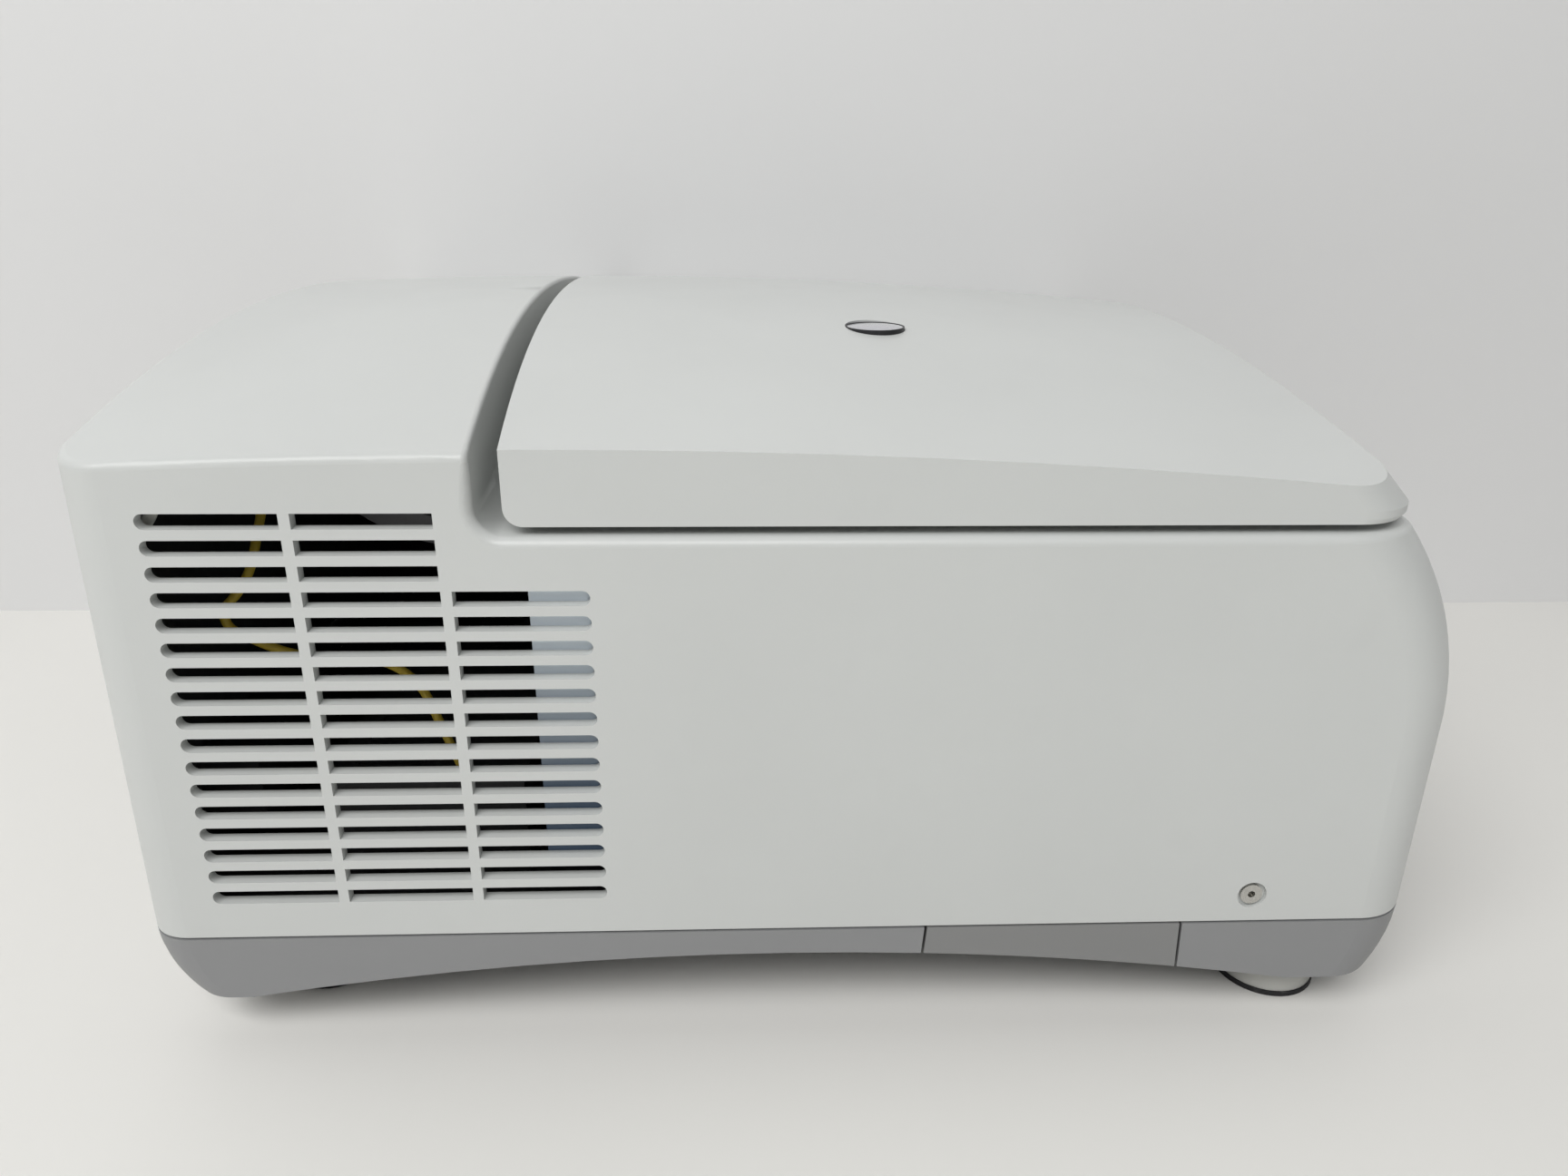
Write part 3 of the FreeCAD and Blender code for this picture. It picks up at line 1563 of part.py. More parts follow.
def make_optics():
    """The lamp below the chamber, the detector in front of it, and a filter wheel for each."""
    lamp_reach = "wheel_radius/2"
    lamp = block(
        "led_box",
        ("-16", "filter_circle - optics_motor_radius - 3"),
        (f"-wheel_y - {lamp_reach}", f"-wheel_y + {lamp_reach}"),
        ("chassis_top", "excitation_z - 3"),
    )
    fin_gaps = [
        block(
            f"led_fin_gap_{index + 1}",
            ("-17", "filter_circle"),
            (f"-wheel_y - {lamp_reach} + 3 + {index}*4.5", f"-wheel_y - {lamp_reach} + 5.5 + {index}*4.5"),
            ("chassis_top + 3", "excitation_z - 14"),
        )
        for index in range(5)
    ]
    lamp_lens = rod(
        "led_lens", "z", ("0", "-wheel_y"), "filter_radius", ("excitation_z - 4", "excitation_z - 1")
    )
    sub_part("led_module", fuse("led_module", cut("led_body", lamp, *fin_gaps), lamp_lens))
    under = ("filter_circle", "-wheel_y")
    wheel_span = ("excitation_z", "excitation_z + wheel_thickness")
    sub_part("excitation_wheel", filter_wheel("excitation_wheel", "z", under, wheel_span))
    sub_part(
        "excitation_motor",
        fuse(
            "excitation_motor",
            rod("excitation_can", "z", under, "optics_motor_radius", ("chassis_top", "excitation_z - 2")),
            rod("excitation_step", "z", under, "wheel_hub", ("excitation_z - 3", "excitation_z - 0.5")),
            rod(
                "excitation_shaft",
                "z",
                under,
                "optics_shaft_radius",
                ("excitation_z - 3", "excitation_z + 4"),
            ),
        ),
    )
    ahead = ("filter_circle", "lens_z")
    sub_part(
        "lens_tube",
        tube(
            "lens_tube",
            "y",
            ("0", "lens_z"),
            "lens_radius",
            "lens_radius - 1.5",
            ("-emission_y + 1", "-chamber_y - chamber_radius - 0.5"),
        ),
    )
    disc_span = ("-emission_y - wheel_thickness", "-emission_y")
    sub_part("emission_wheel", filter_wheel("emission_wheel", "y", ahead, disc_span))
    stand_y = "emission_y + 30"
    front_of_wheel = "-emission_y - wheel_thickness - 2"
    detector = block(
        "detector_box", ("-20", "filter_circle - optics_motor_radius - 2"), (f"-({stand_y})", front_of_wheel),
        ("lens_z - 16", "lens_z + 16"),
    )
    stand = block(
        "detector_stand",
        ("-20", "34"),
        (f"-({stand_y}) - 4", f"-({stand_y})"),
        ("chassis_top", "lens_z + 16"),
    )
    base = block(
        "detector_base",
        ("-20", "34"),
        (f"-({stand_y}) - 4", f"-({stand_y}) + 22"),
        ("chassis_top", "chassis_top + 2"),
    )
    snout = rod(
        "detector_snout", "y", ("0", "lens_z"), "lens_radius - 2", ("-emission_y - 6", "-emission_y - 3")
    )
    sub_part("detector_housing", fuse("detector_housing", detector, stand, base, snout))
    sub_part(
        "emission_motor",
        fuse(
            "emission_motor",
            rod("emission_can", "y", ahead, "optics_motor_radius", (f"-({stand_y})", "-emission_y - 6")),
            rod(
                "emission_step",
                "y",
                ahead,
                "wheel_hub",
                ("-emission_y - 7", "-emission_y - wheel_thickness - 0.5"),
            ),
            rod(
                "emission_shaft", "y", ahead, "optics_shaft_radius", ("-emission_y - 7", "-emission_y + 1.5")
            ),
        ),
    )


# ---------------------------------------------------------------- air


def make_blower():
    """The chamber's blower and the duct that takes its air under the chamber floor."""
    axis = ("0", "blower_y")
    top = "(chassis_top + blower_height)"
    mouth = ("outlet_y", "blower_y")
    skin = "blower_wall"
    scroll = rod("scroll", "z", axis, "blower_radius + 2", ("chassis_top", top))
    outlet = block("outlet_box", ("-duct_half - 2", "duct_half + 2"), mouth, ("duct_low - 4", top))
    hollow = rod(
        "scroll_hollow",
        "z",
        axis,
        "blower_radius + 2 - blower_wall",
        (f"chassis_top + {skin}", f"{top} - {skin}"),
    )
    throat = block(
        "outlet_hollow",
        ("-duct_half - 2 + blower_wall", "duct_half + 2 - blower_wall"),
        ("outlet_y - 1", "blower_y - 10"),
        ("duct_low - 4 + blower_wall", f"{top} - {skin}"),
    )
    eye = rod("blower_eye", "z", axis, "blower_inlet", (f"{top} - 3", f"{top} + 1"))
    shell = cut("blower_shell", fuse("blower_form", scroll, outlet), hollow, throat, eye)
    axle = rod("blower_axle", "z", axis, "axle_radius", ("chassis_top + 1", "axle_top"))
    motor = rod("blower_motor", "z", axis, "12", ("chassis_top + 1", "chassis_top + 6"))
    sub_part("blower_housing", fuse("blower_housing", shell, motor, axle))
    floor = "(chassis_top + 7)"
    blade = block(
        "blower_blade",
        ("blower_radius - 10", "blower_radius - 3"),
        ("blower_y - 0.6", "blower_y + 0.6"),
        (floor, "axle_top"),
    )
    disc = tube("blower_disc", "z", axis, "blower_radius - 3", "axle_radius + 1", (floor, f"{floor} + 1.6"))
    hub = tube("blower_hub", "z", axis, "axle_radius + 5", "axle_radius + 0.05", (floor, f"{floor} + 14"))
    rim = tube(
        "blower_rim", "z", axis, "blower_radius - 3", "blower_radius - 10", ("axle_top - 1.5", "axle_top")
    )
    blades = ring_of("blower_blades_ring", blade, "blower_blades", axis)
    sub_part("blower_impeller", fuse("blower_impeller", disc, hub, rim, blades))
    duct = block(
        "duct_box", ("-duct_half", "duct_half"), ("duct_front_y", "outlet_y - fit"), ("duct_low", "duct_top")
    )
    duct_hollow = block(
        "duct_hollow",
        ("-duct_half + blower_wall", "duct_half - blower_wall"),
        ("duct_front_y + blower_wall", "outlet_y + 1"),
        ("duct_low + blower_wall", "duct_top - blower_wall"),
    )
    duct_hole = rod(
        "duct_hole",
        "z",
        ("0", "-chamber_y + air_hole_reach"),
        "air_hole_radius",
        ("duct_top - 3", "duct_top + 1"),
    )
    sub_part("inlet_duct", cut("inlet_duct", duct, duct_hollow, duct_hole))


BLADE_TWIST = 35


def make_fan():
    """The casing fan behind the rear panel, with its wire guard outside."""
    axis = ("fan_x", "fan_z")
    front = "(panel_front_y - fan_depth)"
    frame = block(
        "fan_block",
        ("fan_x - fan_size/2", "fan_x + fan_size/2"),
        (front, "panel_front_y"),
        ("fan_z - fan_size/2", "fan_z + fan_size/2"),
    )
    bore = rod("fan_bore", "y", axis, "fan_size/2 - 3", (f"{front} - 1", "panel_front_y + 1"))
    seat = rod("fan_seat", "y", axis, "17", ("panel_front_y - 6", "panel_front_y - 1"))
    strut_span = ("panel_front_y - 4", "panel_front_y - 1")
    struts = [
        block(
            "fan_strut_1",
            ("fan_x - fan_size/2 + 1", "fan_x + fan_size/2 - 1"),
            strut_span,
            ("fan_z - 2", "fan_z + 2"),
        ),
        block(
            "fan_strut_2",
            ("fan_x - 2", "fan_x + 2"),
            strut_span,
            ("fan_z - fan_size/2 + 1", "fan_z + fan_size/2 - 1"),
        ),
    ]
    axle = rod("fan_axle", "y", axis, "axle_radius", (f"{front} + 3", "panel_front_y - 5"))
    sub_part("fan_frame", fuse("fan_frame", cut("fan_ring", frame, bore), seat, *struts, axle))
    hub = tube("fan_hub", "y", axis, "17", "axle_radius + 0.05", (f"{front} + 2", "panel_front_y - 7"))
    blade = DOC.addObject("Part::Box", "fan_blade")
    blade.Placement.Rotation = FreeCAD.Rotation(FreeCAD.Vector(1, 0, 0), BLADE_TWIST)
    bind(blade, "Length", "fan_size/2 - 5 - 16")
    bind(blade, "Width", "14")
    bind(blade, "Height", "1.6")
    bind(blade, "Placement.Base.x", "fan_x + 16")
    bind(blade, "Placement.Base.y", f"{front} + 4")
    bind(blade, "Placement.Base.z", "fan_z - 5")
    blades = ring_of("fan_blades_ring", blade, "fan_blades", axis, "y")
    sub_part("fan_impeller", fuse("fan_impeller", hub, blades))
    outside = ("panel_y", "panel_y + 2")
    reach = "(fan_size/2 - 1)"
    rings = [
        tube(f"guard_ring_{index}", "y", axis, f"{radius} + 1", f"{radius} - 1", outside)
        for index, radius in enumerate(("14", "23", "32", "41"), start=1)
    ]
    spokes = [
        block(
            "guard_spoke_1", (f"fan_x - {reach}", f"fan_x + {reach}"), outside, ("fan_z - 1.5", "fan_z + 1.5")
        ),
        block(
            "guard_spoke_2", ("fan_x - 1.5", "fan_x + 1.5"), outside, (f"fan_z - {reach}", f"fan_z + {reach}")
        ),
    ]
    sub_part("fan_guard", fuse("fan_guard", *rings, *spokes))


def make_baffles():
    """An air baffle inside each side wall: a panel behind the front slots with a flange at its rear edge."""
    rear = "grille_front_y + baffle_cover"
    front = "grille_front_y - 25"
    upright = ("68", "baffle_top")
    panel = block("baffle_panel", ("-half + wall + fit", "-half + wall + fit + 3"), (front, rear), upright)
    flange = block(
        "baffle_flange", ("-half + wall + fit", "-half + wall + 22"), (f"{rear} - 3", rear), upright
    )
    baffle = sub_part("side_baffle_left", fuse("side_baffle_left", panel, flange))
    sub_part("side_baffle_right", mirrored("side_baffle_right", baffle))


# ---------------------------------------------------------------- electrics


def make_supply():
    case = block(
        "supply_box", ("-supply_left_x", "-supply_right_x"), (
            "electrics_front_y", "electrics_rear_y"
        ), ("chassis_top", "supply_top")
    )
    vents = [
        block(
            f"supply_vent_{index + 1}",
            (f"-supply_left_x + 12 + {index}*8", f"-supply_left_x + 15 + {index}*8"),
            ("electrics_front_y + 36", "electrics_rear_y - 8"),
            ("supply_top - 2", "supply_top + 1"),
        )
        for index in range(9)
    ]
    sub_part("power_supply", cut("power_supply", case, *vents))


def make_board():
    """The circuit board on its standoffs, with the larger parts that stand on it."""
    left, right = "board_left_x", "board_right_x"
    board = block(
        "main_board", (left, right), ("electrics_front_y", "electrics_rear_y"), ("board_height", "board_top")
    )
    sub_part("main_board", board)
    posts = [
        rod(f"standoff_{end}_{side}", "z", (x, y), "3", ("chassis_top", "board_height"))
        for side, x in (("left", f"{left} + 6"), ("right", f"{right} - 6"))
        for end, y in (("front", "electrics_front_y + 6"), ("rear", "electrics_rear_y - 6"))
    ]
    sub_part("board_standoffs", group("board_standoffs", *posts))
    sink = block(
        "heat_sink",
        (f"{left} + 10", f"{left} + 40"),
        ("electrics_front_y + 12", "electrics_front_y + 34"),
        ("board_top", "board_top + 18"),
    )
    sink_gaps = [
        block(
            f"sink_gap_{index + 1}",
            (f"{left} + 12.5 + {index}*5.5", f"{left} + 15.5 + {index}*5.5"),
            ("electrics_front_y + 11", "electrics_front_y + 35"),
            ("board_top + 3", "board_top + 19"),
        )
        for index in range(5)
    ]
    cans = [
        rod(
            f"capacitor_{index + 1}",
            "z",
            (f"{left} + 54 + {index}*13", "electrics_front_y + 20"),
            "5",
            ("board_top", "board_top + 14"),
        )
        for index in range(3)
    ]
    chip = block(
        "processor",
        (f"{left} + 28", f"{left} + 50"),
        ("electrics_rear_y - 34", "electrics_rear_y - 12"),
        ("board_top", "board_top + 2"),
    )
    plugs = [
        block(
            f"board_plug_{index + 1}",
            (f"{left} + 60 + {index}*12", f"{left} + 69 + {index}*12"),
            ("electrics_rear_y - 18", "electrics_rear_y - 10"),
            ("board_top", "board_top + 8"),
        )
        for index in range(3)
    ]
    sub_part("board_parts", group("board_parts", cut("heat_sink_cut", sink, *sink_gaps), *cans, chip, *plugs))


BEND_SHARE = 0.45


def bent_wire(name, places, radius):
    """A round wire with straight runs and tangent arcs through its corner places."""
    points = [FreeCAD.Vector(*(value(part) for part in place)) for place in places]
    edges = []
    start = points[0]
    length = 0
    for before, corner, after in zip(points, points[1:], points[2:]):
        inward, outward = corner - before, after - corner
        half_turn = inward.getAngle(outward) / 2
        bend = BEND_SHARE * min(inward.Length, outward.Length) / math.tan(half_turn)
        print(f"{name}: bend of {bend:.1f} mm")
        setback = bend * math.tan(half_turn)
        inward.normalize()
        outward.normalize()
        enter, leave = corner - inward * setback, corner + outward * setback
        to_centre = (outward - inward).normalize()
        middle = corner + to_centre * (bend / math.cos(half_turn) - bend)
        edges += [Part.LineSegment(start, enter).toShape(), Part.Arc(enter, middle, leave).toShape()]
        length += enter.distanceToPoint(start) + bend * 2 * half_turn
        start = leave
    edges.append(Part.LineSegment(start, points[-1]).toShape())
    length += start.distanceToPoint(points[-1])
    route = Part.Wire(edges)
    section = Part.Wire([Part.makeCircle(radius, points[0], points[1] - points[0])])
    solid = route.makePipeShell([section], True, False)
    wanted = math.pi * radius**2 * length
    if abs(solid.Volume - wanted) > 0.02 * wanted:
        raise ValueError(f"{name} has volume {solid.Volume:.1f} where {wanted:.1f} is wanted")
    wire = DOC.addObject("Part::Feature", name)
    wire.Shape = solid
    return wire


def make_wire():
    """The earth wire, which loops back from the left hinge bracket and down to the power supply."""
    start = "-hinge_x - arm_thickness/2 - 4.1"
    aside = "-supply_left_x + 7"
    level = "hinge_z - 9"
    loop_top = "supply_top + 70"
    loop_low = "supply_top + 43"
    places = [
        (start, "hinge_y + 5", level),
        (f"{start} - 14", "hinge_y + 5", level),
        (f"{start} - 14", "panel_front_y - 26", f"{level} - 14"),
        (aside, "panel_front_y - 23", loop_top),
        (aside, "panel_front_y - 9", f"(({loop_top}) + ({loop_low}))/2"),
        (aside, "panel_front_y - 34", loop_low),
        (aside, "electrics_front_y + 36", loop_low),
        (aside, "electrics_front_y + 22", "supply_top + fit"),
    ]
    sub_part("yellow_wire", bent_wire("yellow_wire", places, value("wire_radius")))


# ---------------------------------------------------------------- build, check and export


def check_everything():
    faults = [thing.Label for thing in DOC.Objects if {"Invalid", "Error"} & set(thing.State)]
    for thing in SUB_PARTS:
        shape = thing.Shape
        if shape.isNull() or not shape.isValid() or not shape.Solids:
            faults.append(thing.Label)
    if faults:
        raise ValueError("these objects did not build: " + ", ".join(faults))


os.makedirs("parts", exist_ok=True)
make_casing()
make_base()
make_feet()
make_chassis()
make_ports()
make_power_inlet()
make_lid()
make_hinge()
make_chamber()
make_rotor()
make_drive()
make_optics()
make_blower()
make_fan()
make_baffles()
make_supply()
make_board()
make_wire()
DOC.recompute()
check_everything()
for thing in SUB_PARTS:
    thing.Shape.exportStep(f"parts/{thing.Label}.step")
print(len(SUB_PARTS), "sub-parts written")
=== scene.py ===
"""The look of the thermal cycler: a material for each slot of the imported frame, a cable tie seen through
the grille, a bench, a wall, one window light and the camera. Lengths are in metres."""

import json
import math

import bmesh
import bpy
from mathutils import Matrix, Vector


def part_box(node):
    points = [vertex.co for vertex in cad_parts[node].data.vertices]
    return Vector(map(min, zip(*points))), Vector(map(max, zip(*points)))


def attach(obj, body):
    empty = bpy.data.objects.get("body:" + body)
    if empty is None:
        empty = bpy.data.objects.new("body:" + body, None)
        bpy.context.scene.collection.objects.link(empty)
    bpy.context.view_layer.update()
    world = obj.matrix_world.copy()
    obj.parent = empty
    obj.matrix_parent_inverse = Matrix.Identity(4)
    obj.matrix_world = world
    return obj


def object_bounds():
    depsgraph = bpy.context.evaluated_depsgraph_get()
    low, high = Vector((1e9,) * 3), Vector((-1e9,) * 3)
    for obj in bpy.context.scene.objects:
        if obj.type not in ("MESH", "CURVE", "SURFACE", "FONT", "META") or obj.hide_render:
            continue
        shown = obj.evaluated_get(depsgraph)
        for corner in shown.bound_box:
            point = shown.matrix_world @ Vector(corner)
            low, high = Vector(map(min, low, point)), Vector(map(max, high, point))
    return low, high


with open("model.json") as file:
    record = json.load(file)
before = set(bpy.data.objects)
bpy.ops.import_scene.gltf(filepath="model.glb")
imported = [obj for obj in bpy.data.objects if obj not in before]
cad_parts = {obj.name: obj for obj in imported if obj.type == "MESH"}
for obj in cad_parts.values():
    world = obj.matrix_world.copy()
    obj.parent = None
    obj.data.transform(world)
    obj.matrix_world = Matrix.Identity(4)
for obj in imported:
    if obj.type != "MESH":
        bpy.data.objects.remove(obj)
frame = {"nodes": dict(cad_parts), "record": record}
CAD_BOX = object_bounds()

CAMERA_PLACE = (-0.4851, 0.0214, 0.2777)
CAMERA_DOWN = 21.405
CAMERA_RIGHT = 2.391
CAMERA_ROLL = 0.581
CAMERA_LENS = 25.80
SENSOR_WIDTH = 36

WINDOW_PLACE = (-1.70, 0.75, 2.15)
WINDOW_TARGET = (0.0, 0.0, 0.1)
WINDOW_SIZE = (2.6, 1.3)
WINDOW_POWER = 66
WINDOW_COLOUR = (1.0, 0.998, 0.99)
SKY_COLOUR = (0.95, 0.97, 1.0)
SKY_STRENGTH = 0.11

WALL_GAP = 0.005
STUDIO_REACH = 6.0


# ---------------------------------------------------------------- camera and studio


def look_axes(down, right, roll):
    """The camera's right, up and backward directions, turned by three angles from looking along +X."""
    level_ahead = Vector((math.cos(right), -math.sin(right), 0))
    ahead = math.cos(down) * level_ahead - math.sin(down) * Vector((0, 0, 1))
    level = Vector((-math.sin(right), -math.cos(right), 0))
    above = level.cross(ahead)
    across = math.cos(roll) * level + math.sin(roll) * above
    upward = -math.sin(roll) * level + math.cos(roll) * above
    return across, upward, -ahead


def add_object(name, data):
    made = bpy.data.objects.new(name, data)
    bpy.context.collection.objects.link(made)
    return made


def add_camera():
    data = bpy.data.cameras.new("camera")
    data.sensor_width = SENSOR_WIDTH
    data.lens = CAMERA_LENS
    data.clip_start = 0.01
    angles = (math.radians(angle) for angle in (CAMERA_DOWN, CAMERA_RIGHT, CAMERA_ROLL))
    turn = Matrix(look_axes(*angles)).transposed().to_4x4()
    camera = add_object("camera", data)
    camera.matrix_world = Matrix.Translation(CAMERA_PLACE) @ turn
    bpy.context.scene.camera = camera


def add_window_light():
    data = bpy.data.lights.new("window_light", "AREA")
    data.shape = "RECTANGLE"
    data.size, data.size_y = WINDOW_SIZE
    data.energy = WINDOW_POWER
    data.color = WINDOW_COLOUR
    lamp = add_object("window_light", data)
    lamp.location = WINDOW_PLACE
    aim = Vector(WINDOW_TARGET) - Vector(WINDOW_PLACE)
    lamp.rotation_euler = aim.to_track_quat("-Z", "Y").to_euler()


def add_sky():
    world = bpy.data.worlds.new("studio")
    world.use_nodes = True
    background = world.node_tree.nodes["Background"]
    background.inputs["Color"].default_value = (*SKY_COLOUR, 1)
    background.inputs["Strength"].default_value = SKY_STRENGTH
    bpy.context.scene.world = world


# ---------------------------------------------------------------- materials


def colour_socket(sockets, label):
    """The colour socket of this name, where a node also has number sockets of the same name."""
    return next(socket for socket in sockets if socket.name == label and socket.type == "RGBA")


class Maker:
    """One material's node tree, with short ways to add the nodes used here."""

    def __init__(self, name):
        self.material = bpy.data.materials.new(name)
        self.material.use_nodes = True
        self.tree = self.material.node_tree
        self.shader = self.tree.nodes["Principled BSDF"]
        self.place = self.node("ShaderNodeTexCoord").outputs["Object"]

    def node(self, kind, **settings):
        made = self.tree.nodes.new(kind)
        for key, setting in settings.items():
            setattr(made, key, setting)
        return made

    def link(self, source, target):
        self.tree.links.new(source, target)

    def put(self, label, setting):
        """Sets a number on the shader's own socket."""
        self.shader.inputs[label].default_value = setting

    def stretched(self, scale):
        """Object coordinates scaled along each axis."""
        mapping = self.node("ShaderNodeMapping")
        mapping.inputs["Scale"].default_value = scale
        self.link(self.place, mapping.inputs["Vector"])
        return mapping.outputs["Vector"]

    def noise(self, scale, detail=3.0, stretch=None):
        """Cloudy noise from 0 to 1, finer as the scale grows."""
        noise = self.node("ShaderNodeTexNoise")
        noise.inputs["Scale"].default_value = scale
        noise.inputs["Detail"].default_value = detail
        self.link(self.stretched(stretch) if stretch else self.place, noise.inputs["Vector"])
        return noise.outputs["Fac"]

    def cells(self, scale):
        """Distance to the nearest of many scattered points."""
        cells = self.node("ShaderNodeTexVoronoi")
        cells.inputs["Scale"].default_value = scale
        self.link(self.place, cells.inputs["Vector"])
        return cells.outputs["Distance"]

    def range(self, source, low, high, start=0.3, stop=0.7):
        """The source mapped so that start gives low and stop gives high."""
        mapped = self.node("ShaderNodeMapRange")
        mapped.inputs["From Min"].default_value = start
        mapped.inputs["From Max"].default_value = stop
        mapped.inputs["To Min"].default_value = low
        mapped.inputs["To Max"].default_value = high
        self.link(source, mapped.inputs["Value"])
        return mapped.outputs["Result"]

    def blend(self, factor, first, second):
        """A mix of two colours, each a plain one or another node's."""
        mix = self.node("ShaderNodeMix", data_type="RGBA")
        self.link(factor, mix.inputs["Factor"])
        for label, colour in (("A", first), ("B", second)):
            socket = colour_socket(mix.inputs, label)
            if isinstance(colour, tuple):
                socket.default_value = (*colour, 1)
            else:
                self.link(colour, socket)
        return colour_socket(mix.outputs, "Result")

    def bump(self, height, distance, strength=1.0):
        """A surface direction that follows a small relief of this depth."""
        bump = self.node("ShaderNodeBump")
        bump.inputs["Distance"].default_value = distance
        bump.inputs["Strength"].default_value = strength
        self.link(height, bump.inputs["Height"])
        return bump.outputs["Normal"]

    def finish(self, colour, roughness, relief=None):
        self.link(colour, self.shader.inputs["Base Color"])
        self.link(roughness, self.shader.inputs["Roughness"])
        if relief:
            self.link(relief, self.shader.inputs["Normal"])
        return self.material


def shade(colour, factor):
    return tuple(channel * factor for channel in colour)


def moulded(name, colour, rough, coat=0.0):
    """Injection-moulded plastic: a fine even texture, faint drifts of tone and rub marks."""
    maker = Maker(name)
    maker.put("Specular IOR Level", 0.45)
    maker.put("Coat Weight", coat)
    drifts = maker.range(maker.noise(9.0), 0.0, 1.0)
    drifted = maker.blend(drifts, shade(colour, 0.975), shade(colour, 1.02))
    rubs = maker.range(maker.noise(38.0, 6.0), 0.0, 0.35, 0.6, 0.8)
    tone = maker.blend(rubs, drifted, shade(colour, 0.95))
    polish = maker.range(maker.noise(24.0, 5.0), rough - 0.04, rough + 0.05)
    grain = maker.bump(maker.noise(1600, 2.0), 0.00002)
    return maker.finish(tone, polish, grain)


def metal(name, colour, rough, stretch=(60, 2200, 2200), stain=0.9):
    """Machined or brushed metal: fine lines one way and slight staining."""
    maker = Maker(name)
    maker.put("Metallic", 1.0)
    lines = maker.noise(1.0, 4.0, stretch)
    stains = maker.range(maker.noise(40.0, 4.0), 0.0, 1.0)
    tone = maker.blend(stains, colour, shade(colour, stain))
    polish = maker.range(lines, rough - 0.08, rough + 0.1)
    return maker.finish(tone, polish, maker.bump(lines, 0.000015))


def coated(name, colour, rough):
    """Powder-coated sheet: an orange-peel surface."""
    maker = Maker(name)
    drifts = maker.range(maker.noise(14.0), 0.0, 1.0)
    tone = maker.blend(drifts, colour, shade(colour, 0.93))
    polish = maker.range(maker.noise(120.0), rough - 0.05, rough + 0.08)
    peel = maker.bump(maker.noise(700.0, 1.0), 0.00006, 0.6)
    return maker.finish(tone, polish, peel)


def foam(name, colour, pores, depth):
    """Open-cell foam or felted insulation."""
    maker = Maker(name)
    maker.put("Specular IOR Level", 0.1)
    maker.put("Sheen Weight", 0.25)
    cells = maker.cells(pores)
    # painted shade: the foam is coloured darker in the hollows of its cells
    shaded_hollows = maker.range(cells, 0.0, 1.0, 0.1, 0.6)
    tone = maker.blend(shaded_hollows, shade(colour, 1.05), shade(colour, 0.7))
    polish = maker.range(maker.noise(60.0), 0.85, 0.97)
    return maker.finish(tone, polish, maker.bump(cells, depth))


def rubber(name, colour):
    """Black rubber with a little dust on it."""
    maker = Maker(name)
    dust = maker.range(maker.noise(160.0, 5.0), 0.0, 0.5, 0.52, 0.75)
    tone = maker.blend(dust, colour, (0.16, 0.155, 0.145))
    polish = maker.range(maker.noise(90.0), 0.6, 0.82)
    return maker.finish(tone, polish, maker.bump(maker.noise(900.0), 0.00004))


def glass(name):
    """The viewport's smoked window, with faint dust; its grey is partly the glass's own tone and partly a
    painted soft reflection.
    """
    maker = Maker(name)
    maker.put("IOR", 1.5)
    maker.put("Coat Weight", 1.0)
    maker.put("Coat Roughness", 0.03)
    dust = maker.range(maker.noise(420.0, 5.0), 0.0, 0.4, 0.55, 0.8)
    # painted reflection: the grey tone is lightened to stand for the window's soft reflection; the paler
    # dust is real
    tone = maker.blend(dust, (0.43, 0.43, 0.48), (0.5, 0.5, 0.5))
    return maker.finish(tone, maker.range(maker.noise(80.0), 0.06, 0.16))


def blue_graded_panel(name, low, high, bottom, top):
    """Thin blue plastic, coloured deep blue at its foot and grading to pale blue at its top."""
    maker = Maker(name)
    maker.put("Specular IOR Level", 0.4)
    height = maker.node("ShaderNodeSeparateXYZ")
    maker.link(maker.place, height.inputs["Vector"])
    rise = maker.range(height.outputs["Z"], 0.0, 1.0, bottom, top)
    streaks = maker.range(maker.noise(1.0, 3.0, (30, 30, 600)), 0.0, 0.12)
    tone = maker.blend(streaks, maker.blend(rise, low, high), shade(high, 0.8))
    polish = maker.range(maker.noise(60.0), 0.35, 0.5)
    return maker.finish(tone, polish, maker.bump(maker.noise(900.0), 0.00002))


def circuit(name):
    """Lacquered board with copper runs and pads."""
    maker = Maker(name)
    maker.put("Coat Weight", 0.6)
    maker.put("Coat Roughness", 0.1)
    bricks = maker.node("ShaderNodeTexBrick")
    bricks.inputs["Scale"].default_value = 260
    bricks.inputs["Mortar Size"].default_value = 0.016
    bricks.inputs["Color1"].default_value = (0.012, 0.10, 0.045, 1)
    bricks.inputs["Color2"].default_value = (0.016, 0.13, 0.055, 1)
    bricks.inputs["Mortar"].default_value = (0.05, 0.26, 0.11, 1)
    maker.link(maker.place, bricks.inputs["Vector"])
    pads = maker.range(maker.cells(330.0), 1.0, 0.0, 0.10, 0.14)
    tone = maker.blend(pads, bricks.outputs["Color"], (0.62, 0.55, 0.36))
    polish = maker.range(maker.noise(60.0), 0.25, 0.4)
    return maker.finish(tone, polish, maker.bump(bricks.outputs["Fac"], 0.00003))


CASE = (0.615, 0.630, 0.618)
BASE = (0.272, 0.275, 0.280)
INSERT = (0.245, 0.246, 0.245)
DEEP_BLUE = (0.04, 0.085, 0.16)
PALE_BLUE = (0.84, 0.92, 1.0)


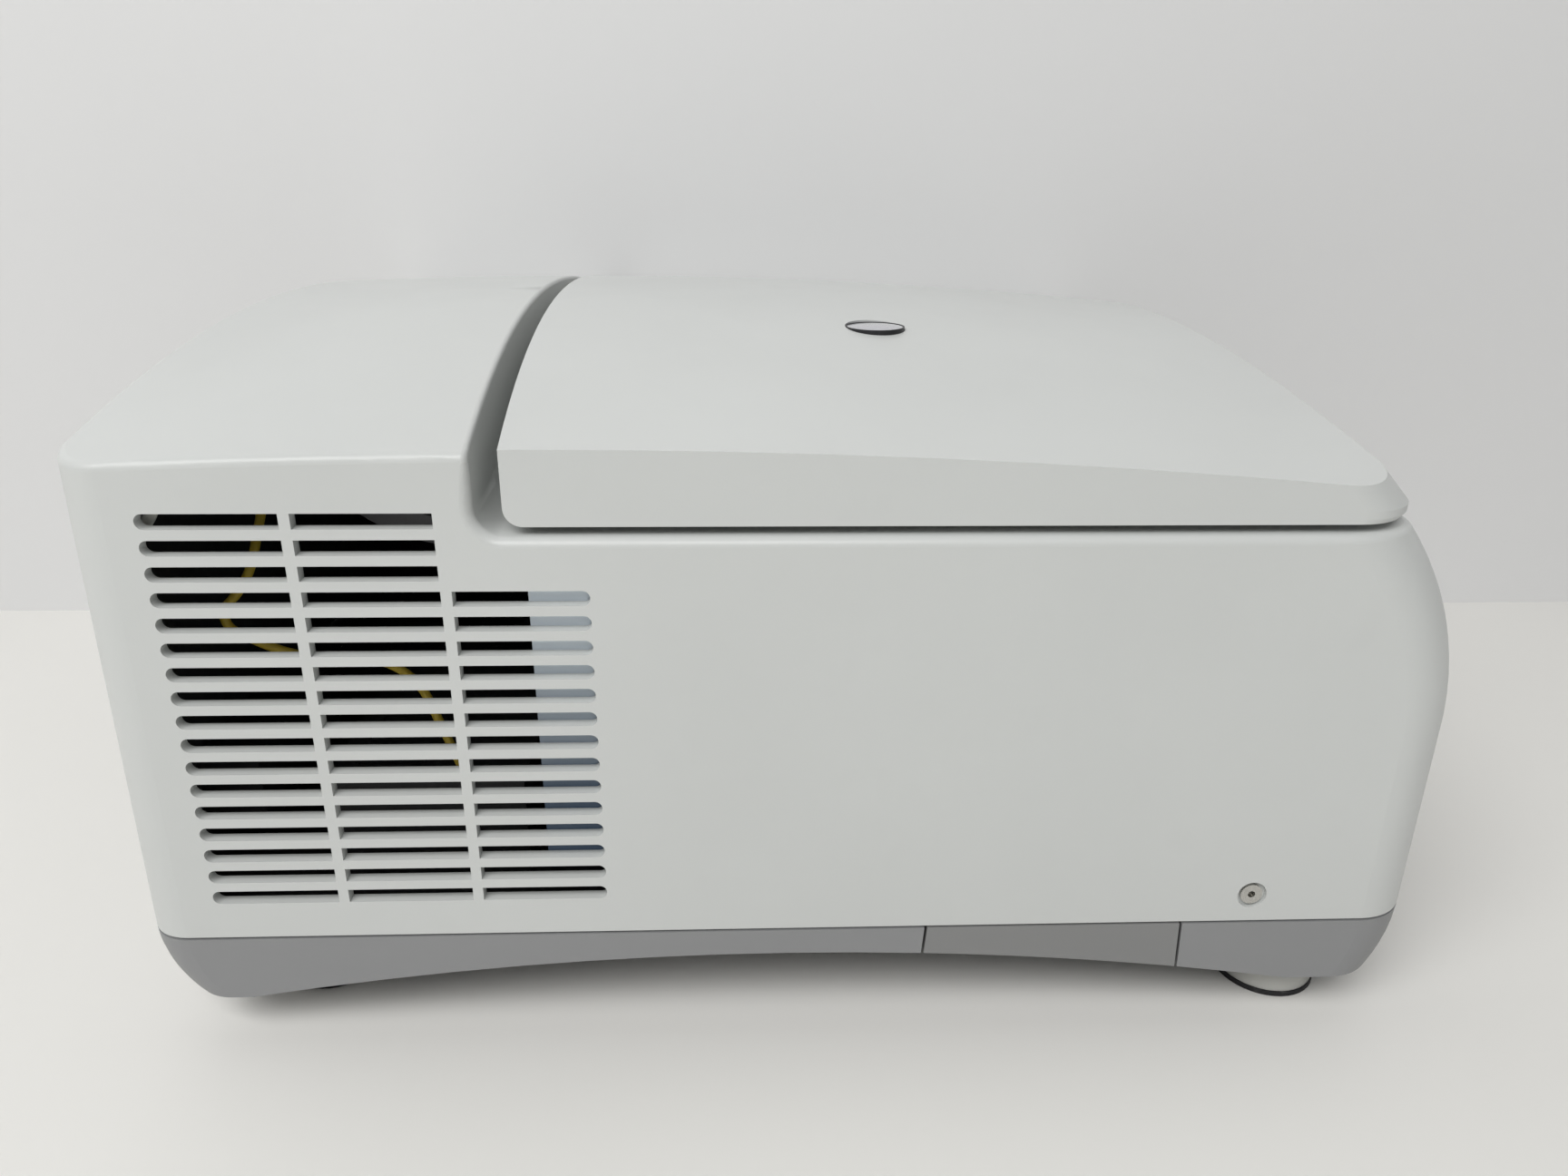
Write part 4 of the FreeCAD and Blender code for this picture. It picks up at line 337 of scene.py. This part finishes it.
def give_materials():
    """Makes one material for each slot of the record and gives it to that slot's nodes."""
    made = {
        "case_plastic": moulded("case_plastic", CASE, 0.40, coat=0.12),
        "base_plastic": moulded("base_plastic", BASE, 0.46),
        "insert_plastic": moulded("insert_plastic", INSERT, 0.5),
        "foot_rubber": rubber("foot_rubber", (0.012, 0.012, 0.014)),
        "foot_pad": moulded("foot_pad", (0.56, 0.56, 0.53), 0.5),
        # painted shade: steel is coloured near-black so the hinge arm behind the grille stays as dark as the
        # shadowed inside of the case
        "steel": metal("steel", (0.13, 0.13, 0.135), 0.38),
        "plated_steel": metal("plated_steel", (0.62, 0.61, 0.58), 0.22, stain=0.8),
        # painted shade: this coat is near-black so brackets and panels inside the case look as dark as the
        # shade behind the grille
        "painted_steel": coated("painted_steel", (0.035, 0.036, 0.038), 0.5),
        "aluminium": metal("aluminium", (0.72, 0.73, 0.74), 0.3, (900, 900, 60)),
        "black_plastic": moulded("black_plastic", (0.018, 0.018, 0.02), 0.42),
        "gloss_black": moulded("gloss_black", (0.012, 0.012, 0.013), 0.2, coat=0.4),
        "insulation_board": foam("insulation_board", (0.66, 0.65, 0.60), 900.0, 0.0003),
        "baffle_plastic": blue_graded_panel("baffle_plastic", DEEP_BLUE, PALE_BLUE, 0.088, 0.142),
        "seal_rubber": rubber("seal_rubber", (0.02, 0.02, 0.02)),
        "lens_glass": glass("lens_glass"),
        "filter_metal": metal("filter_metal", (0.05, 0.05, 0.055), 0.4),
        "brass": metal("brass", (0.60, 0.43, 0.18), 0.3),
        "heater_metal": metal("heater_metal", (0.34, 0.29, 0.25), 0.4, stain=0.7),
        "board_green": circuit("board_green"),
        "wire_yellow": moulded("wire_yellow", (0.72, 0.52, 0.06), 0.4),
        "light_lens": moulded("light_lens", (0.32, 0.52, 0.36), 0.2, coat=0.6),
    }
    for entry in frame["record"]["subparts"]:
        node = frame["nodes"][entry["node"]]
        node.data.materials.clear()
        node.data.materials.append(made[entry["material_slot"]])


# ---------------------------------------------------------------- studio surfaces


def flat_sheet(name, corners, material):
    """A stage surface with four corners."""
    mesh = bpy.data.meshes.new(name)
    mesh.from_pydata([Vector(corner) for corner in corners], [], [(0, 1, 2, 3)])
    mesh.materials.append(material)
    sheet = add_object(name, mesh)


def backdrop_material(name, colour, rough, one_sided):
    """Painted wall or bench top; a one-sided sheet is clear from behind."""
    maker = Maker(name)
    drifts = maker.range(maker.noise(2.2, 2.0), 0.0, 1.0)
    tone = maker.blend(drifts, colour, shade(colour, 0.975))
    polish = maker.range(maker.noise(8.0), rough, rough + 0.1)
    material = maker.finish(tone, polish, maker.bump(maker.noise(260.0), 0.00004))
    if one_sided:
        geometry = maker.node("ShaderNodeNewGeometry")
        clear = maker.node("ShaderNodeBsdfTransparent")
        mix = maker.node("ShaderNodeMixShader")
        output = maker.tree.nodes["Material Output"]
        maker.link(geometry.outputs["Backfacing"], mix.inputs["Fac"])
        maker.link(maker.shader.outputs["BSDF"], mix.inputs[1])
        maker.link(clear.outputs["BSDF"], mix.inputs[2])
        maker.link(mix.outputs["Shader"], output.inputs["Surface"])
    return material


def curved_strip(name, places, width, thickness, material):
    """A closed strip that follows a line of places in a plane across X; the width is along X."""
    mesh = bpy.data.meshes.new(name)
    shape = bmesh.new()
    rings = []
    for index, place in enumerate(places):
        before = places[max(index - 1, 0)]
        after = places[min(index + 1, len(places) - 1)]
        along = (Vector(after) - Vector(before)).normalized()
        aside = Vector((1, 0, 0)) * width / 2
        upward = Vector((1, 0, 0)).cross(along).normalized() * thickness / 2
        corners = (-aside - upward, aside - upward, aside + upward, -aside + upward)
        rings.append([shape.verts.new(Vector(place) + corner) for corner in corners])
    for first, second in zip(rings, rings[1:]):
        for corner in range(4):
            following = (corner + 1) % 4
            shape.faces.new((first[corner], first[following], second[following], second[corner]))
    shape.faces.new(rings[0])
    shape.faces.new(reversed(rings[-1]))
    bmesh.ops.recalc_face_normals(shape, faces=shape.faces)
    shape.to_mesh(mesh)
    shape.free()
    mesh.materials.append(material)
    strip = add_object(name, mesh)
    edge = strip.modifiers.new("soft_edges", "BEVEL")
    edge.width = min(width, thickness) * 0.35
    edge.segments = 3
    return strip


def add_cable_tie():
    """The loose end of a cable tie, just inside the rear end of the top slot."""
    low, high = (Vector(corner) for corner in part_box("upper_case"))
    foot = Vector((low.x + 0.0072, high.y - 0.0222, 0.1748))
    steps = 8
    sag = 0.0006
    places = []
    for step in range(steps + 1):
        bend = sag * math.sin(math.pi * step / steps)
        places.append(foot + Vector((0, -0.0007 * step - bend, 0.0009 * step)))
    nylon = moulded("natural_nylon", (0.78, 0.78, 0.72), 0.35)
    strip = curved_strip("cable_tie_end", places, 0.0011, 0.0034, nylon)
    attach(strip, "case")


def add_studio():
    """A bench top under the part and a wall close behind its far side."""
    reach = STUDIO_REACH
    wall_x = CAD_BOX[1][0] + WALL_GAP
    bench = backdrop_material("bench_top", (0.84, 0.83, 0.80), 0.4, one_sided=False)
    wall = backdrop_material("wall_paint", (0.79, 0.79, 0.79), 0.5, one_sided=True)
    floor_corners = [(-reach, -reach, 0), (reach, -reach, 0), (reach, reach, 0), (-reach, reach, 0)]
    wall_corners = [(wall_x, reach, 0), (wall_x, -reach, 0), (wall_x, -reach, reach), (wall_x, reach, reach)]
    flat_sheet("bench", floor_corners, bench)
    flat_sheet("wall", wall_corners, wall)


bpy.context.scene.view_settings.view_transform = "Standard"
add_camera()
give_materials()
add_window_light()
add_sky()
add_cable_tie()
add_studio()
